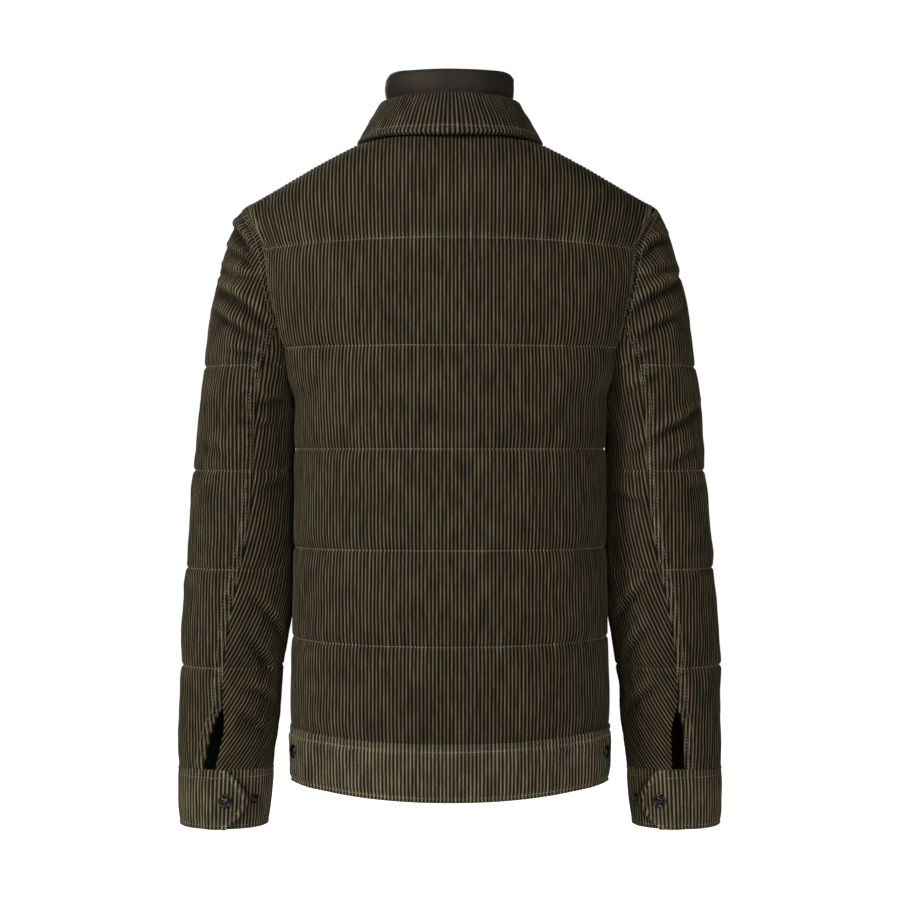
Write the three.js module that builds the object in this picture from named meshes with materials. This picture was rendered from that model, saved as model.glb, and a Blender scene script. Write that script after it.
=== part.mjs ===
// Quilted corduroy jacket, worn shape with no wearer: hollow, with open neck, hem, armholes and cuffs.
// Millimetres, +Z up. The wearer faces -Y and the wearer's left arm is on +X.
// The origin is between the shoulders, level with the foot of the neck.

import * as THREE from 'three';

// Driving dimensions
const WALL = 3;
const SEAM_GAP = 0.3;
const PUFF = 3.4;
const STITCH_HALF_WIDTH = 26;
const HEM_Z = -657;
const WAIST_SEAM_Z = -598;
const CUFF_SEAM_Z = -636;
const CUFF_BOTTOM_Z = -697;
const NECK_HALF_WIDTH = 72;
const NECK_BACK = { y: 64, z: 8 };
const NECK_SIDE = { y: -5, z: 6 };
const NECK_FRONT = { y: -80, z: -50 };
const NECK_SHARE = 0.4;
const SHOULDER_CROWN = 6.5;
const SECTION_POWER = 2.4;
const YOKE_POWER = 2.4;
const ARMHOLE = { midY: -3, halfDepth: 63, midZ: -155, halfHeight: 95, frontScoop: 5 };
const YOKE_TURN = 60;
const YOKE_RISE = 105;
const SNAP_RADIUS = 7;
const SPARE_SNAP_RADIUS = 5;

// Armhole stations, in degrees from the shoulder (0) to the underarm (180)
const ARMHOLE_STATIONS = [0, 16, 32, 48, 60, 75, 90, 106, 122, 138, 158, 180];
const SLEEVE_SEAM_STATION = 106;

// How far out from the middle the armhole seam lies at each height
const ARMHOLE_REACH = [
  { z: -252, x: 160.5 },
  { z: -205, x: 167.5 },
  { z: -154, x: 179.5 },
  { z: -103, x: 187 },
  { z: -80, x: 198 },
  { z: -59, x: 212.5 },
];

// The body below the shoulders: half width at the side seam and depths at the middle
const BODY_SECTIONS = [
  { z: -670, sideX: 161, backY: 106, frontY: -105 },
  { z: -598, sideX: 162, backY: 108, frontY: -105 },
  { z: -505, sideX: 160.5, backY: 111, frontY: -105 },
  { z: -408, sideX: 158.5, backY: 113, frontY: -106 },
  { z: -308, sideX: 158, backY: 115, frontY: -108 },
  { z: -250, sideX: 158.5, backY: 117, frontY: -109 },
  { z: -206, sideX: 160, backY: 118, frontY: -109 },
  { z: -150, sideX: 160, backY: 118, frontY: -106 },
  { z: -90, sideX: 160, backY: 115, frontY: -97 },
];

// Horizontal sections of the left sleeve
const SLEEVE_SECTIONS = [
  { z: -59, out: 211, in: 160, midY: -4, depth: 22 },
  { z: -68, out: 213, in: 160, midY: -4, depth: 34 },
  { z: -80, out: 219.5, in: 160, midY: -4, depth: 45 },
  { z: -105, out: 228, in: 160.5, midY: -4, depth: 58 },
  { z: -130, out: 235.5, in: 161, midY: -4.5, depth: 66 },
  { z: -155, out: 240.5, in: 161, midY: -5, depth: 71 },
  { z: -204, out: 248, in: 161.5, midY: -5.5, depth: 73 },
  { z: -252, out: 254, in: 162.8, midY: -7, depth: 72 },
  { z: -300, out: 258.5, in: 164.8, midY: -9, depth: 68 },
  { z: -352, out: 264, in: 165, midY: -11, depth: 64 },
  { z: -402, out: 268, in: 165, midY: -13, depth: 61 },
  { z: -451, out: 272.5, in: 165.2, midY: -15, depth: 58 },
  { z: -500, out: 275.5, in: 169.6, midY: -17, depth: 54.5 },
  { z: -550, out: 278, in: 175.8, midY: -19.5, depth: 50.5 },
  { z: -587, out: 279, in: 179, midY: -22, depth: 47 },
  { z: -636, out: 280.5, in: 185, midY: -24, depth: 43.5 },
  { z: -700, out: 279, in: 191, midY: -24, depth: 42.5 },
];

// Where the sleeve's back seam runs, in degrees round the sleeve from its outer line
const BACK_SEAM = [
  { z: -212, turn: 113 },
  { z: -235, turn: 109.5 },
  { z: -260, turn: 108 },
  { z: -326, turn: 108 },
  { z: -366, turn: 106 },
  { z: -414, turn: 99 },
  { z: -467, turn: 89 },
  { z: -529, turn: 85 },
  { z: -573, turn: 86 },
];
const FRONT_SEAM_TURN = 104;
const VENT = { topZ: -571, halfWidthTurn: 8, openingRate: 2, leftTurn: 73, rightTurn: 89 };

// Quilting lines and rows between them, by height at the middle of a body panel
const BODY_QUILT_LINES = [-100, -206, -308, -408, -503, WAIST_SEAM_Z];
const SLEEVE_QUILT_LINES = [-131, -224, -330, -430, -531, CUFF_SEAM_Z];
const ROW_INSET = 15;
const UNDERARM_INSET = 18;

// Soft troughs in the sleeves, between two places given as degrees round the sleeve and height
const SLEEVE_CREASES = [
  { turnA: 20, zA: -86, turnB: 100, zB: -118, depth: 4, width: 8 },
  { turnA: 30, zA: -143, turnB: 97, zB: -163, depth: 4.5, width: 9 },
  { turnA: 97, zA: -163, turnB: 122, zB: -183, depth: 3.5, width: 9 },
  { turnA: 95, zA: -268, turnB: 150, zB: -262, depth: 2.5, width: 10 },
  { turnA: 105, zA: -460, turnB: 160, zB: -520, depth: 3, width: 12 },
  { turnA: 100, zA: -560, turnB: 160, zB: -575, depth: 3, width: 11 },
];

// A body panel's rows hang rounder below the armhole, and flatten out towards its edges
const BODY_HANG = { fromZ: -250, over: 40, armholePower: 1.35 };
const SIDE_FLAT = { share: 0.75, power: 5 };
const EDGE_SHARE = 0.999;
const NEAR_EDGE = 0.985;
const NEAR_TOP = 0.99;
const ARMHOLE_EDGE_Z = -249.5;
const SIDE_SEAM_Z = -240;

const LEVEL_CENTRE_Z = -408;
const HEM_DIP = 13;
const SHOULDER_DIP = 7;

const SLEEVE_MM_PER_DEGREE = 0.95;
const PULL_BLEND = 7;
const PULL_REACH = 30;
const UPPER_COLUMNS = 12;
const BACK_COLUMNS = 18;
const FRONT_COLUMNS = 9;
const JUNCTION_GAP_TURN = 1.3;
const SEAM_TURN_GAP = 0.22;
const ARMHOLE_SEAM_GAP = 0.75;
const FIRST_SLEEVE_ROW_Z = -196;
const UNDER_ROWS_TO_ROUND = 5;
const NORMAL_STEP = 1.5;
const SLEEVE_TOP_Z = -66;
const INNER_FLAT = 0.8;
const UNDERARM_STEP = 4;

// The placket runs down the middle of the front, in shares of the way across to the side
const PLACKET = { edge: -0.037, stitched: 0.045, gap: 0.002, lift: 2.6,
  snapLift: 0.6, topRise: 0.95, plainTo: 30, fullAt: 52 };
const PLACKET_SNAP_RISES = [0.42, -50, -135, -220, -305, -390, -460];

// Cuffs, by degrees round the sleeve's end
const CUFF = {
  tabTurn: 124,
  underlapTurn: -277,
  lapFrom: 60,
  lapTo: 80,
  lap: 3.7,
  proud: 1.2,
  columns: 34,
  twist: { left: 0, right: 18 },
  snapTurn: 95,
  spareTurn: 134,
  snapZ: -667,
};
const CUFF_TIP_POWER = 8;
const CUFF_ROWS = [
  { down: 0, cutBack: 28 },
  { down: 0.28, cutBack: 9 },
  { down: 0.52, cutBack: 0 },
  { down: 0.74, cutBack: 8 },
  { down: 1, cutBack: 27 },
];

// The back waistband's ends lie over the front ones near the side seams
const WAISTBAND = {
  endTurn: 17,
  underTurn: 31,
  lapFrom: 46,
  lapTo: 33,
  lap: 4.7,
  proud: 0.8,
  puff: 1,
  frontLap: 2,
  frontGap: 0.3,
  backColumns: 24,
  frontColumns: 14,
  snapTurn: 23,
  snapDown: 0.42,
};
const BAND_ROWS = [0, 0.15, 0.5, 0.85, 1];

// The stand collar from its foot up, offset and height from the neck oval
const STAND_ROWS = [
  { height: 2, offset: -5.2 },
  { height: 16, offset: -8.6 },
  { height: 34, offset: -9.4 },
  { height: 43, offset: -8 },
  { height: 50, offset: -5.6 },
  { height: 58, offset: -4.6 },
  { height: 64, offset: -5.6 },
  { height: 66.8, offset: -7.4 },
];
const STAND = { thick: 2.6, endTurn: 1.5, columns: 30, freeHeight: 41, frontDrop: 0.5 };

// The turned-down collar from its lower edge up over the fold and down inside
const COLLAR_ROWS = [
  { leaf: 1, offset: 34, height: -3.6, inX: 2.3, inZ: 1.9 },
  { leaf: 0.75, offset: 26.5, height: 9.5, inX: 2.3, inZ: 1.9 },
  { leaf: 0.5, offset: 17.5, height: 22, inX: 2.3, inZ: 1.9 },
  { leaf: 0.25, offset: 7.5, height: 33, inX: 2.2, inZ: 2 },
  { leaf: 0.05, offset: 0.5, height: 39.6, inX: 1.4, inZ: 2.6 },
  { leaf: 0, offset: -3.5, height: 41, inX: 0, inZ: 3 },
  { leaf: 0, offset: -7.4, height: 39.4, inX: -2.2, inZ: 2 },
  { leaf: 0, offset: -8.6, height: 34, inX: -3, inZ: 0 },
  { leaf: 0, offset: -7.2, height: 16, inX: -3, inZ: 0 },
  { leaf: 0, offset: -4.3, height: 1.8, inX: -2.9, inZ: 0 },
];
const COLLAR = { columns: 28, endTurn: 6, spread: 0.16 };
const COLLAR_LEAF = {
  sideways: -9.5,
  front: 7,
  sideRise: 2.5,
  frontRise: 1,
  backCorner: 2.5,
  frontCorner: 15,
};

// A snap's cap, from its foot to the middle of its dome
const SNAP_SIDES = 12;
const SNAP_PROFILE = [
  { out: 0, up: 0 },
  { out: 1, up: 0 },
  { out: 1, up: 1.5 },
  { out: 0.8, up: 2.1 },
  { out: 0.62, up: 1.6 },
  { out: 0.45, up: 2.2 },
  { out: 0, up: 2.7 },
];

const colours = {
  corduroy: new THREE.MeshStandardMaterial({ color: 0x3c3626, roughness: 0.95, metalness: 0 }),
  satin: new THREE.MeshStandardMaterial({ color: 0x2d2824, roughness: 0.45, metalness: 0 }),
  gunmetal: new THREE.MeshStandardMaterial({ color: 0x26251f, roughness: 0.35, metalness: 0.9 }),
};

const radians = THREE.MathUtils.degToRad;
const clamp = THREE.MathUtils.clamp;
const smooth = THREE.MathUtils.smoothstep;
const mix = THREE.MathUtils.lerp;

// Smooth interpolation of every column of a table that is sorted by one column
function smoothTable(rows, key) {
  const sorted = [...rows].sort((a, b) => a[key] - b[key]);
  const slopeAt = (i, name) => {
    const before = sorted[Math.max(i - 1, 0)];
    const after = sorted[Math.min(i + 1, sorted.length - 1)];
    return (after[name] - before[name]) / (after[key] - before[key]);
  };
  return (value) => {
    const last = sorted.length - 2;
    let i = 0;
    while (i < last && value > sorted[i + 1][key]) i += 1;
    const span = sorted[i + 1][key] - sorted[i][key];
    const t = clamp((value - sorted[i][key]) / span, 0, 1);
    const row = {};
    for (const name of Object.keys(sorted[0])) {
      const a = sorted[i][name];
      const b = sorted[i + 1][name];
      const slopeA = slopeAt(i, name) * span;
      const slopeB = slopeAt(i + 1, name) * span;
      row[name] = a + t * (slopeA + t * (3 * (b - a) - 2 * slopeA - slopeB
        + t * (slopeA + slopeB - 2 * (b - a))));
    }
    return row;
  };
}

const armholeReach = smoothTable(ARMHOLE_REACH, 'z');
const bodySection = smoothTable(BODY_SECTIONS, 'z');
const sleeveSection = smoothTable(SLEEVE_SECTIONS, 'z');
const backSeam = smoothTable(BACK_SEAM, 'z');

// The armhole seam of the left side, by degrees round it: 90 is at the back, 270 at the front
function armholePoint(turn) {
  const angle = radians(turn);
  const z = ARMHOLE.midZ + ARMHOLE.halfHeight * Math.cos(angle);
  const y = ARMHOLE.midY + ARMHOLE.halfDepth * Math.sin(angle);
  const scoop = ARMHOLE.frontScoop * Math.max(0, -Math.sin(angle));
  return new THREE.Vector3(armholeReach(z).x - scoop, y, z);
}

// The armhole's inner edge lies towards the armhole's middle, so both walls meet on one rim
function armholeInner(turn) {
  const point = armholePoint(turn);
  const toMiddle = new THREE.Vector3(0, ARMHOLE.midY - point.y, ARMHOLE.midZ - point.z);
  return point.addScaledVector(toMiddle.normalize(), WALL);
}

function armholeTurnAt(z) {
  const cosine = clamp((z - ARMHOLE.midZ) / ARMHOLE.halfHeight, -1, 1);
  return THREE.MathUtils.radToDeg(Math.acos(cosine));
}

// Height of a body row at its side edge, where its height at the middle is level
function edgeHeight(level) {
  if (level > BODY_QUILT_LINES[1]) {
    return level - SHOULDER_DIP * smooth(level, BODY_QUILT_LINES[1], BODY_QUILT_LINES[0]);
  }
  const drop = Math.max(0, (LEVEL_CENTRE_Z - level) / (LEVEL_CENTRE_Z - HEM_Z));
  return level + HEM_DIP * drop ** 1.3;
}

// Half of a body row below the yoke. across runs from 0 at the middle to 1 at the edge.
function rowPoint(across, level, edge, middleY) {
  const angle = radians(90 * across);
  const hung = clamp((edge.z - BODY_HANG.fromZ) / BODY_HANG.over, 0, 1);
  const edgePower = mix(SECTION_POWER, BODY_HANG.armholePower, hung);
  const x = edge.x * Math.sin(angle) ** (2 / SECTION_POWER);
  const y = edge.y + (middleY - edge.y) * Math.cos(angle) ** (2 / edgePower);
  return new THREE.Vector3(x, y, mix(level, edge.z, (x / edge.x) ** 2));
}

function bodyEdge(level, side) {
  const z = edgeHeight(level);
  const underarm = ARMHOLE.midZ - ARMHOLE.halfHeight;
  if (z <= underarm) return new THREE.Vector3(bodySection(z).sideX, ARMHOLE.midY, z);
  const turn = armholeTurnAt(z);
  const point = armholePoint(side === 'back' ? turn : 360 - turn);
  const start = new THREE.Vector3(bodySection(underarm).sideX, ARMHOLE.midY, underarm);
  return start.lerp(point, smooth(z, underarm, underarm + 1));
}

// Top edge of a body panel: half of the neckline, then the shoulder seam
function topPoint(across, side) {
  if (across < NECK_SHARE) {
    const end = side === 'back' ? NECK_BACK : NECK_FRONT;
    const angle = radians(90 * (across / NECK_SHARE));
    const fall = Math.cos(angle) ** 2;
    const x = NECK_HALF_WIDTH * Math.sin(angle);
    return new THREE.Vector3(x, mix(NECK_SIDE.y, end.y, Math.cos(angle)),
      mix(NECK_SIDE.z, end.z, fall));
  }
  const along = (across - NECK_SHARE) / (1 - NECK_SHARE);
  const neck = new THREE.Vector3(NECK_HALF_WIDTH, NECK_SIDE.y, NECK_SIDE.z);
  const point = neck.lerp(armholePoint(0), along);
  point.z += SHOULDER_CROWN * Math.sin(Math.PI * along);
  return point;
}

// A body panel's surface. rise is 0 at the first quilting line and 1 at the shoulder seam;
// below that line it is negative, in millimetres.
function bodyPoint(acrossSigned, rise, side) {
  const across = Math.abs(acrossSigned);
  const mirror = Math.sign(acrossSigned) || 1;
  const yokeLevel = BODY_QUILT_LINES[0];
  const level = rise < 0 ? yokeLevel + rise : yokeLevel;
  const section = bodySection(level);
  const middleY = side === 'back' ? section.backY : section.frontY;
  const point = rowPoint(across, level, bodyEdge(level, side), middleY);
  if (rise > 0) {
    const top = topPoint(across, side);
    const angle = radians(90 * rise);
    const inward = 1 - Math.cos(angle) ** (2 / YOKE_POWER);
    const upward = Math.sin(angle) ** (2 / YOKE_POWER);
    const start = point.clone();
    point.set(mix(start.x, top.x, inward), mix(start.y, top.y, inward), mix(start.z, top.z, upward));
    const foot = rowPoint(1, level, bodyEdge(level, side), middleY);
    const edgeNow = new THREE.Vector3(
      mix(foot.x, armholePoint(0).x, inward),
      mix(foot.y, armholePoint(0).y, inward),
      mix(foot.z, armholePoint(0).z, upward),
    );
    const turn = YOKE_TURN * (1 - rise);
    const seam = armholePoint(side === 'back' ? turn : 360 - turn);
    point.addScaledVector(seam.sub(edgeNow), across ** 6);
  }
  point.x *= mirror;
  return point;
}

// Lift of the face between quilting lines, from 0 on a line to 1 midway
function puffBetween(lines, z) {
  let nearest = Infinity;
  for (const line of lines) nearest = Math.min(nearest, Math.abs(z - line));
  return Math.sin(Math.min(1, nearest / STITCH_HALF_WIDTH) * Math.PI / 2) ** 0.8;
}

function normalOf(surface, a, b, stepA, stepB) {
  const alongA = surface(a + stepA, b).sub(surface(a - stepA, b));
  const alongB = surface(a, b + stepB).sub(surface(a, b - stepB));
  return alongA.cross(alongB).normalize();
}

// A closed wall between an outer and an inner grid of points, with a rim round its edge
function wall(outer, inner) {
  const rows = outer.length;
  const columns = outer[0].length;
  const positions = [];
  for (const grid of [outer, inner]) {
    for (const row of grid) {
      for (const point of row) positions.push(point.x, point.y, point.z);
    }
  }
  const at = (layer, r, c) => layer * rows * columns + r * columns + c;
  const index = [];
  const quad = (a, b, c, d) => index.push(a, b, c, a, c, d);
  for (let r = 0; r < rows - 1; r += 1) {
    for (let c = 0; c < columns - 1; c += 1) {
      quad(at(0, r, c), at(0, r, c + 1), at(0, r + 1, c + 1), at(0, r + 1, c));
      quad(at(1, r, c), at(1, r + 1, c), at(1, r + 1, c + 1), at(1, r, c + 1));
    }
  }
  const loop = [];
  for (let c = 0; c < columns - 1; c += 1) loop.push([0, c]);
  for (let r = 0; r < rows - 1; r += 1) loop.push([r, columns - 1]);
  for (let c = columns - 1; c > 0; c -= 1) loop.push([rows - 1, c]);
  for (let r = rows - 1; r > 0; r -= 1) loop.push([r, 0]);
  loop.forEach(([r, c], i) => {
    const [nextR, nextC] = loop[(i + 1) % loop.length];
    quad(at(0, nextR, nextC), at(0, r, c), at(1, r, c), at(1, nextR, nextC));
  });
  return outwardFacing(positions, index);
}

function outwardFacing(positions, index) {
  let volume = 0;
  const corner = (i) => new THREE.Vector3().fromArray(positions, 3 * i);
  for (let i = 0; i < index.length; i += 3) {
    volume += corner(index[i]).dot(corner(index[i + 1]).cross(corner(index[i + 2])));
  }
  if (volume < 0) {
    for (let i = 0; i < index.length; i += 3) [index[i], index[i + 1]] = [index[i + 1], index[i]];
  }
  const geometry = new THREE.BufferGeometry();
  geometry.setAttribute('position', new THREE.Float32BufferAttribute(positions, 3));
  geometry.setIndex(index);
  geometry.computeVertexNormals();
  return geometry;
}

// Grids are built for the left side (+X) and mirrored for the right
function sided(grid, side) {
  if (side === 'left') return grid;
  return grid.map((row) => row.map((point) => new THREE.Vector3(-point.x, point.y, point.z)));
}

const group = new THREE.Group();

function addPiece(name, geometry, material) {
  const mesh = new THREE.Mesh(geometry, material);
  mesh.name = name;
  group.add(mesh);
  return mesh;
}

// Rows of a body panel, from the waist seam up to the shoulder seam
function bodyRises() {
  const yokeLevel = BODY_QUILT_LINES[0];
  const underarm = ARMHOLE.midZ - ARMHOLE.halfHeight;
  const rises = [];
  for (let i = BODY_QUILT_LINES.length - 1; i > 2; i -= 1) {
    const low = BODY_QUILT_LINES[i] - yokeLevel;
    const high = BODY_QUILT_LINES[i - 1] - yokeLevel;
    rises.push(low, low + ROW_INSET, (low + high) / 2, high - ROW_INSET);
  }
  rises.push(BODY_QUILT_LINES[2] - yokeLevel, BODY_QUILT_LINES[2] + ROW_INSET - yokeLevel);
  rises.push(underarm - UNDERARM_INSET - yokeLevel);
  for (const turn of [...ARMHOLE_STATIONS].reverse()) {
    const z = armholePoint(turn).z;
    if (turn > YOKE_TURN) rises.push(levelOfEdge(z) - yokeLevel);
    else rises.push(1 - turn / YOKE_TURN);
  }
  return rises;
}

// The row level whose edge is at height z, found by halving
const LEVEL_SEARCH = { reach: 20, halvings: 40 };

function levelOfEdge(z) {
  let low = z - LEVEL_SEARCH.reach;
  let high = z + LEVEL_SEARCH.reach;
  for (let i = 0; i < LEVEL_SEARCH.halvings; i += 1) {
    const middle = (low + high) / 2;
    if (edgeHeight(middle) < z) low = middle;
    else high = middle;
  }
  return low;
}

const heightOfRise = (rise) => BODY_QUILT_LINES[0] + rise * (rise < 0 ? 1 : YOKE_RISE);

function evenPlaces(from, to, count) {
  return Array.from({ length: count + 1 }, (_, i) => mix(from, to, i / count));
}

// One body panel through some places across it, with its quilting raised on the outside
function bodyPanel(side, places) {
  const rises = bodyRises();
  const surface = (across, rise) => bodyPoint(clamp(across, -1, 1), rise, side);
  const facing = side === 'back' ? -1 : 1;
  const outer = [];
  const inner = [];
  rises.forEach((rise, rowNumber) => {
    const atTop = rowNumber === rises.length - 1;
    const atFoot = rowNumber === 0;
    const shift = rise < 0 ? 1 : 0.01;
    const held = clamp(rise, rises[0] + shift, 1 - shift);
    const outerRow = [];
    const innerRow = [];
    for (const across of places) {
      const point = surface(across, rise);
      const near = clamp(across, -NEAR_EDGE, NEAR_EDGE);
      const normal = normalOf(surface, near, held, 0.01, shift).multiplyScalar(facing);
      const edge = Math.abs(across) > EDGE_SHARE;
      const sideFlat = 1 - SIDE_FLAT.share * Math.abs(across) ** SIDE_FLAT.power;
      const plain = side === 'back' ? 1 : smooth(Math.abs(point.x), PLACKET.plainTo, PLACKET.fullAt);
      const lift = PUFF * puffBetween(BODY_QUILT_LINES, heightOfRise(rise)) * sideFlat * plain;
      const top = atTop ? 0 : 1;
      const outerPoint = point.clone().addScaledVector(normal, edge ? 0 : lift * top);
      let innerPoint = point.clone().addScaledVector(normal, -WALL);
      const edgeZ = bodyEdge(BODY_QUILT_LINES[0] + Math.min(rise, 0), side).z;
      if (edge && edgeZ > ARMHOLE_EDGE_Z) {
        const turn = rise < 0 ? armholeTurnAt(point.z) : YOKE_TURN * (1 - rise);
        innerPoint = armholeInner(side === 'back' ? turn : 360 - turn);
        innerPoint.x *= Math.sign(across);
      }
      const gap = new THREE.Vector3();
      if (atTop) gap.y = -facing * SEAM_GAP / 2;
      if (atFoot) gap.z = SEAM_GAP / 2;
      if (edge && !atTop && point.z < SIDE_SEAM_Z) gap.y = -facing * SEAM_GAP / 2;
      if (atTop) innerPoint = point.clone().add(new THREE.Vector3(0, 0, -WALL));
      outerRow.push(outerPoint.add(gap));
      innerRow.push(innerPoint.add(gap));
    }
    outer.push(outerRow);
    inner.push(innerRow);
  });
  return { outer, inner };
}

function addBody() {
  const back = bodyPanel('back', evenPlaces(-1, 1, BACK_COLUMNS));
  addPiece('back', wall(back.outer, back.inner), colours.corduroy);
  const pressed = mix(PLACKET.edge, PLACKET.stitched, 0.5);
  const sidewards = evenPlaces(PLACKET.stitched, 1, FRONT_COLUMNS);
  const left = bodyPanel('front', [PLACKET.edge, pressed, ...sidewards]);
  addPiece('front_left', wall(left.outer, left.inner), colours.corduroy);
  const right = bodyPanel('front', evenPlaces(-1, PLACKET.edge - PLACKET.gap, FRONT_COLUMNS));
  addPiece('front_right', wall(right.outer, right.inner), colours.corduroy);
}

// The placket lies on the left front: the front's own points, moved out
function placketPoint(across, rise, lift) {
  const held = clamp(rise, bodyRises()[0] + 1, NEAR_TOP);
  const step = rise < 0 ? 1 : 0.01;
  const surface = (a, r) => bodyPoint(a, r, 'front');
  const normal = normalOf(surface, across, held, 0.01, step);
  return surface(across, rise).addScaledVector(normal, lift);
}

function addPlacket() {
  const rises = bodyRises().filter((rise) => rise < PLACKET.topRise);
  const outer = [];
  const inner = [];
  for (const rise of rises) {
    const places = [PLACKET.edge, mix(PLACKET.edge, PLACKET.stitched, 0.5), PLACKET.stitched];
    outer.push(places.map((across) => placketPoint(across, rise, SEAM_GAP + PLACKET.lift)));
    inner.push(places.map((across) => placketPoint(across, rise, SEAM_GAP)));
  }
  for (const grid of [outer, inner]) {
    for (const point of grid[0]) point.z += SEAM_GAP;
  }
  addPiece('placket', wall(outer, inner), colours.corduroy);
}

function ringPoint(turn, z) {
  const section = sleeveSection(z);
  const angle = radians(turn);
  const middle = (section.out + section.in) / 2;
  const half = (section.out - section.in) / 2;
  return new THREE.Vector3(middle + half * Math.cos(angle),
    section.midY + section.depth * Math.sin(angle), z);
}

// Where a place on the armhole seam lies round the sleeve's own sections
function sleeveTurnOf(armTurn) {
  const point = armholePoint(armTurn);
  const section = sleeveSection(point.z);
  const middle = (section.out + section.in) / 2;
  const half = (section.out - section.in) / 2;
  const turn = THREE.MathUtils.radToDeg(Math.atan2((point.y - section.midY) / section.depth,
    (point.x - middle) / half));
  return armTurn > 180 && turn > 0 ? turn - 360 : turn;
}

const wrapTurn = (turn) => ((turn + 540) % 360) - 180;

// The sleeve's sections are drawn in to the armhole seam near it
const seamPulls = [];
for (let armTurn = 0; armTurn < 360; armTurn += 6) {
  const turn = sleeveTurnOf(armTurn);
  const point = armholePoint(armTurn);
  seamPulls.push({ turn, z: point.z, pull: point.clone().sub(ringPoint(turn, point.z)) });
}

function sleevePoint(turn, z) {
  const point = ringPoint(turn, z);
  let nearest = Infinity;
  let total = 0;
  const pull = new THREE.Vector3();
  for (const seam of seamPulls) {
    const around = wrapTurn(turn - seam.turn) * SLEEVE_MM_PER_DEGREE;
    const distance = Math.hypot(around, z - seam.z);
    const weight = Math.exp(-((distance / PULL_BLEND) ** 2));
    nearest = Math.min(nearest, distance);
    total += weight;
    pull.addScaledVector(seam.pull, weight);
  }
  if (total > 0) point.addScaledVector(pull, Math.exp(-((nearest / PULL_REACH) ** 2)) / total);
  return point;
}

const junction = armholePoint(SLEEVE_SEAM_STATION);

function seamTurn(z, ventTurn, which) {
  const upper = which === 'back' ? sleeveTurnOf(SLEEVE_SEAM_STATION)
    : -sleeveTurnOf(360 - SLEEVE_SEAM_STATION);
  const start = which === 'back' ? BACK_SEAM[0].turn : FRONT_SEAM_TURN;
  if (z > BACK_SEAM[0].z) return mix(upper, start, (junction.z - z) / (junction.z - BACK_SEAM[0].z));
  if (which === 'front') return FRONT_SEAM_TURN;
  if (z > VENT.topZ) return backSeam(z).turn;
  const down = (VENT.topZ - z) / (VENT.topZ - CUFF_SEAM_Z);
  return mix(BACK_SEAM[BACK_SEAM.length - 1].turn, ventTurn, down);
}

function ventOpening(z) {
  if (z > VENT.topZ) return 0;
  const down = (VENT.topZ - z) / (VENT.topZ - CUFF_SEAM_Z);
  return VENT.halfWidthTurn * Math.sin(radians(90 * Math.min(1, down * VENT.openingRate)));
}

function creaseDepth(turn, z) {
  let depth = 0;
  for (const crease of SLEEVE_CREASES) {
    const alongX = (crease.turnB - crease.turnA) * SLEEVE_MM_PER_DEGREE;
    const alongZ = crease.zB - crease.zA;
    const fromX = wrapTurn(turn - crease.turnA) * SLEEVE_MM_PER_DEGREE;
    const fromZ = z - crease.zA;
    const t = clamp((fromX * alongX + fromZ * alongZ) / (alongX ** 2 + alongZ ** 2), 0, 1);
    const distance = Math.hypot(fromX - t * alongX, fromZ - t * alongZ);
    depth += crease.depth * Math.exp(-((distance / crease.width) ** 2));
  }
  return depth;
}

// Face and lining points of the sleeve at one place
function sleeveWallPoint(turn, z, share = 1) {
  const normal = normalOf(sleevePoint, turn, Math.min(z, SLEEVE_TOP_Z), NORMAL_STEP, NORMAL_STEP);
  const face = sleevePoint(turn, z);
  const lining = face.clone().addScaledVector(normal, -WALL);
  const inSide = Math.max(0, -Math.cos(radians(turn)));
  const lift = PUFF * puffBetween(SLEEVE_QUILT_LINES, z) * (1 - INNER_FLAT * inSide ** 2);
  const raised = lift - creaseDepth(turn, z);
  face.addScaledVector(normal, share * raised);
  return [face, lining];
}

function sleeveSeamPoint(armTurn) {
  const gap = new THREE.Vector3(ARMHOLE_SEAM_GAP, 0, 0);
  return [armholePoint(armTurn).add(gap), armholeInner(armTurn).add(gap)];
}

// Heights of the sleeve rows below the place where its seams reach the armhole
function sleeveHeights() {
  const heights = [FIRST_SLEEVE_ROW_Z];
  for (let i = 1; i < SLEEVE_QUILT_LINES.length; i += 1) {
    const line = SLEEVE_QUILT_LINES[i];
    const next = SLEEVE_QUILT_LINES[i + 1];
    heights.push(line + ROW_INSET, line);
    if (next !== undefined) heights.push(line - ROW_INSET, (line + next) / 2);
  }
  return heights;
}

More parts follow.
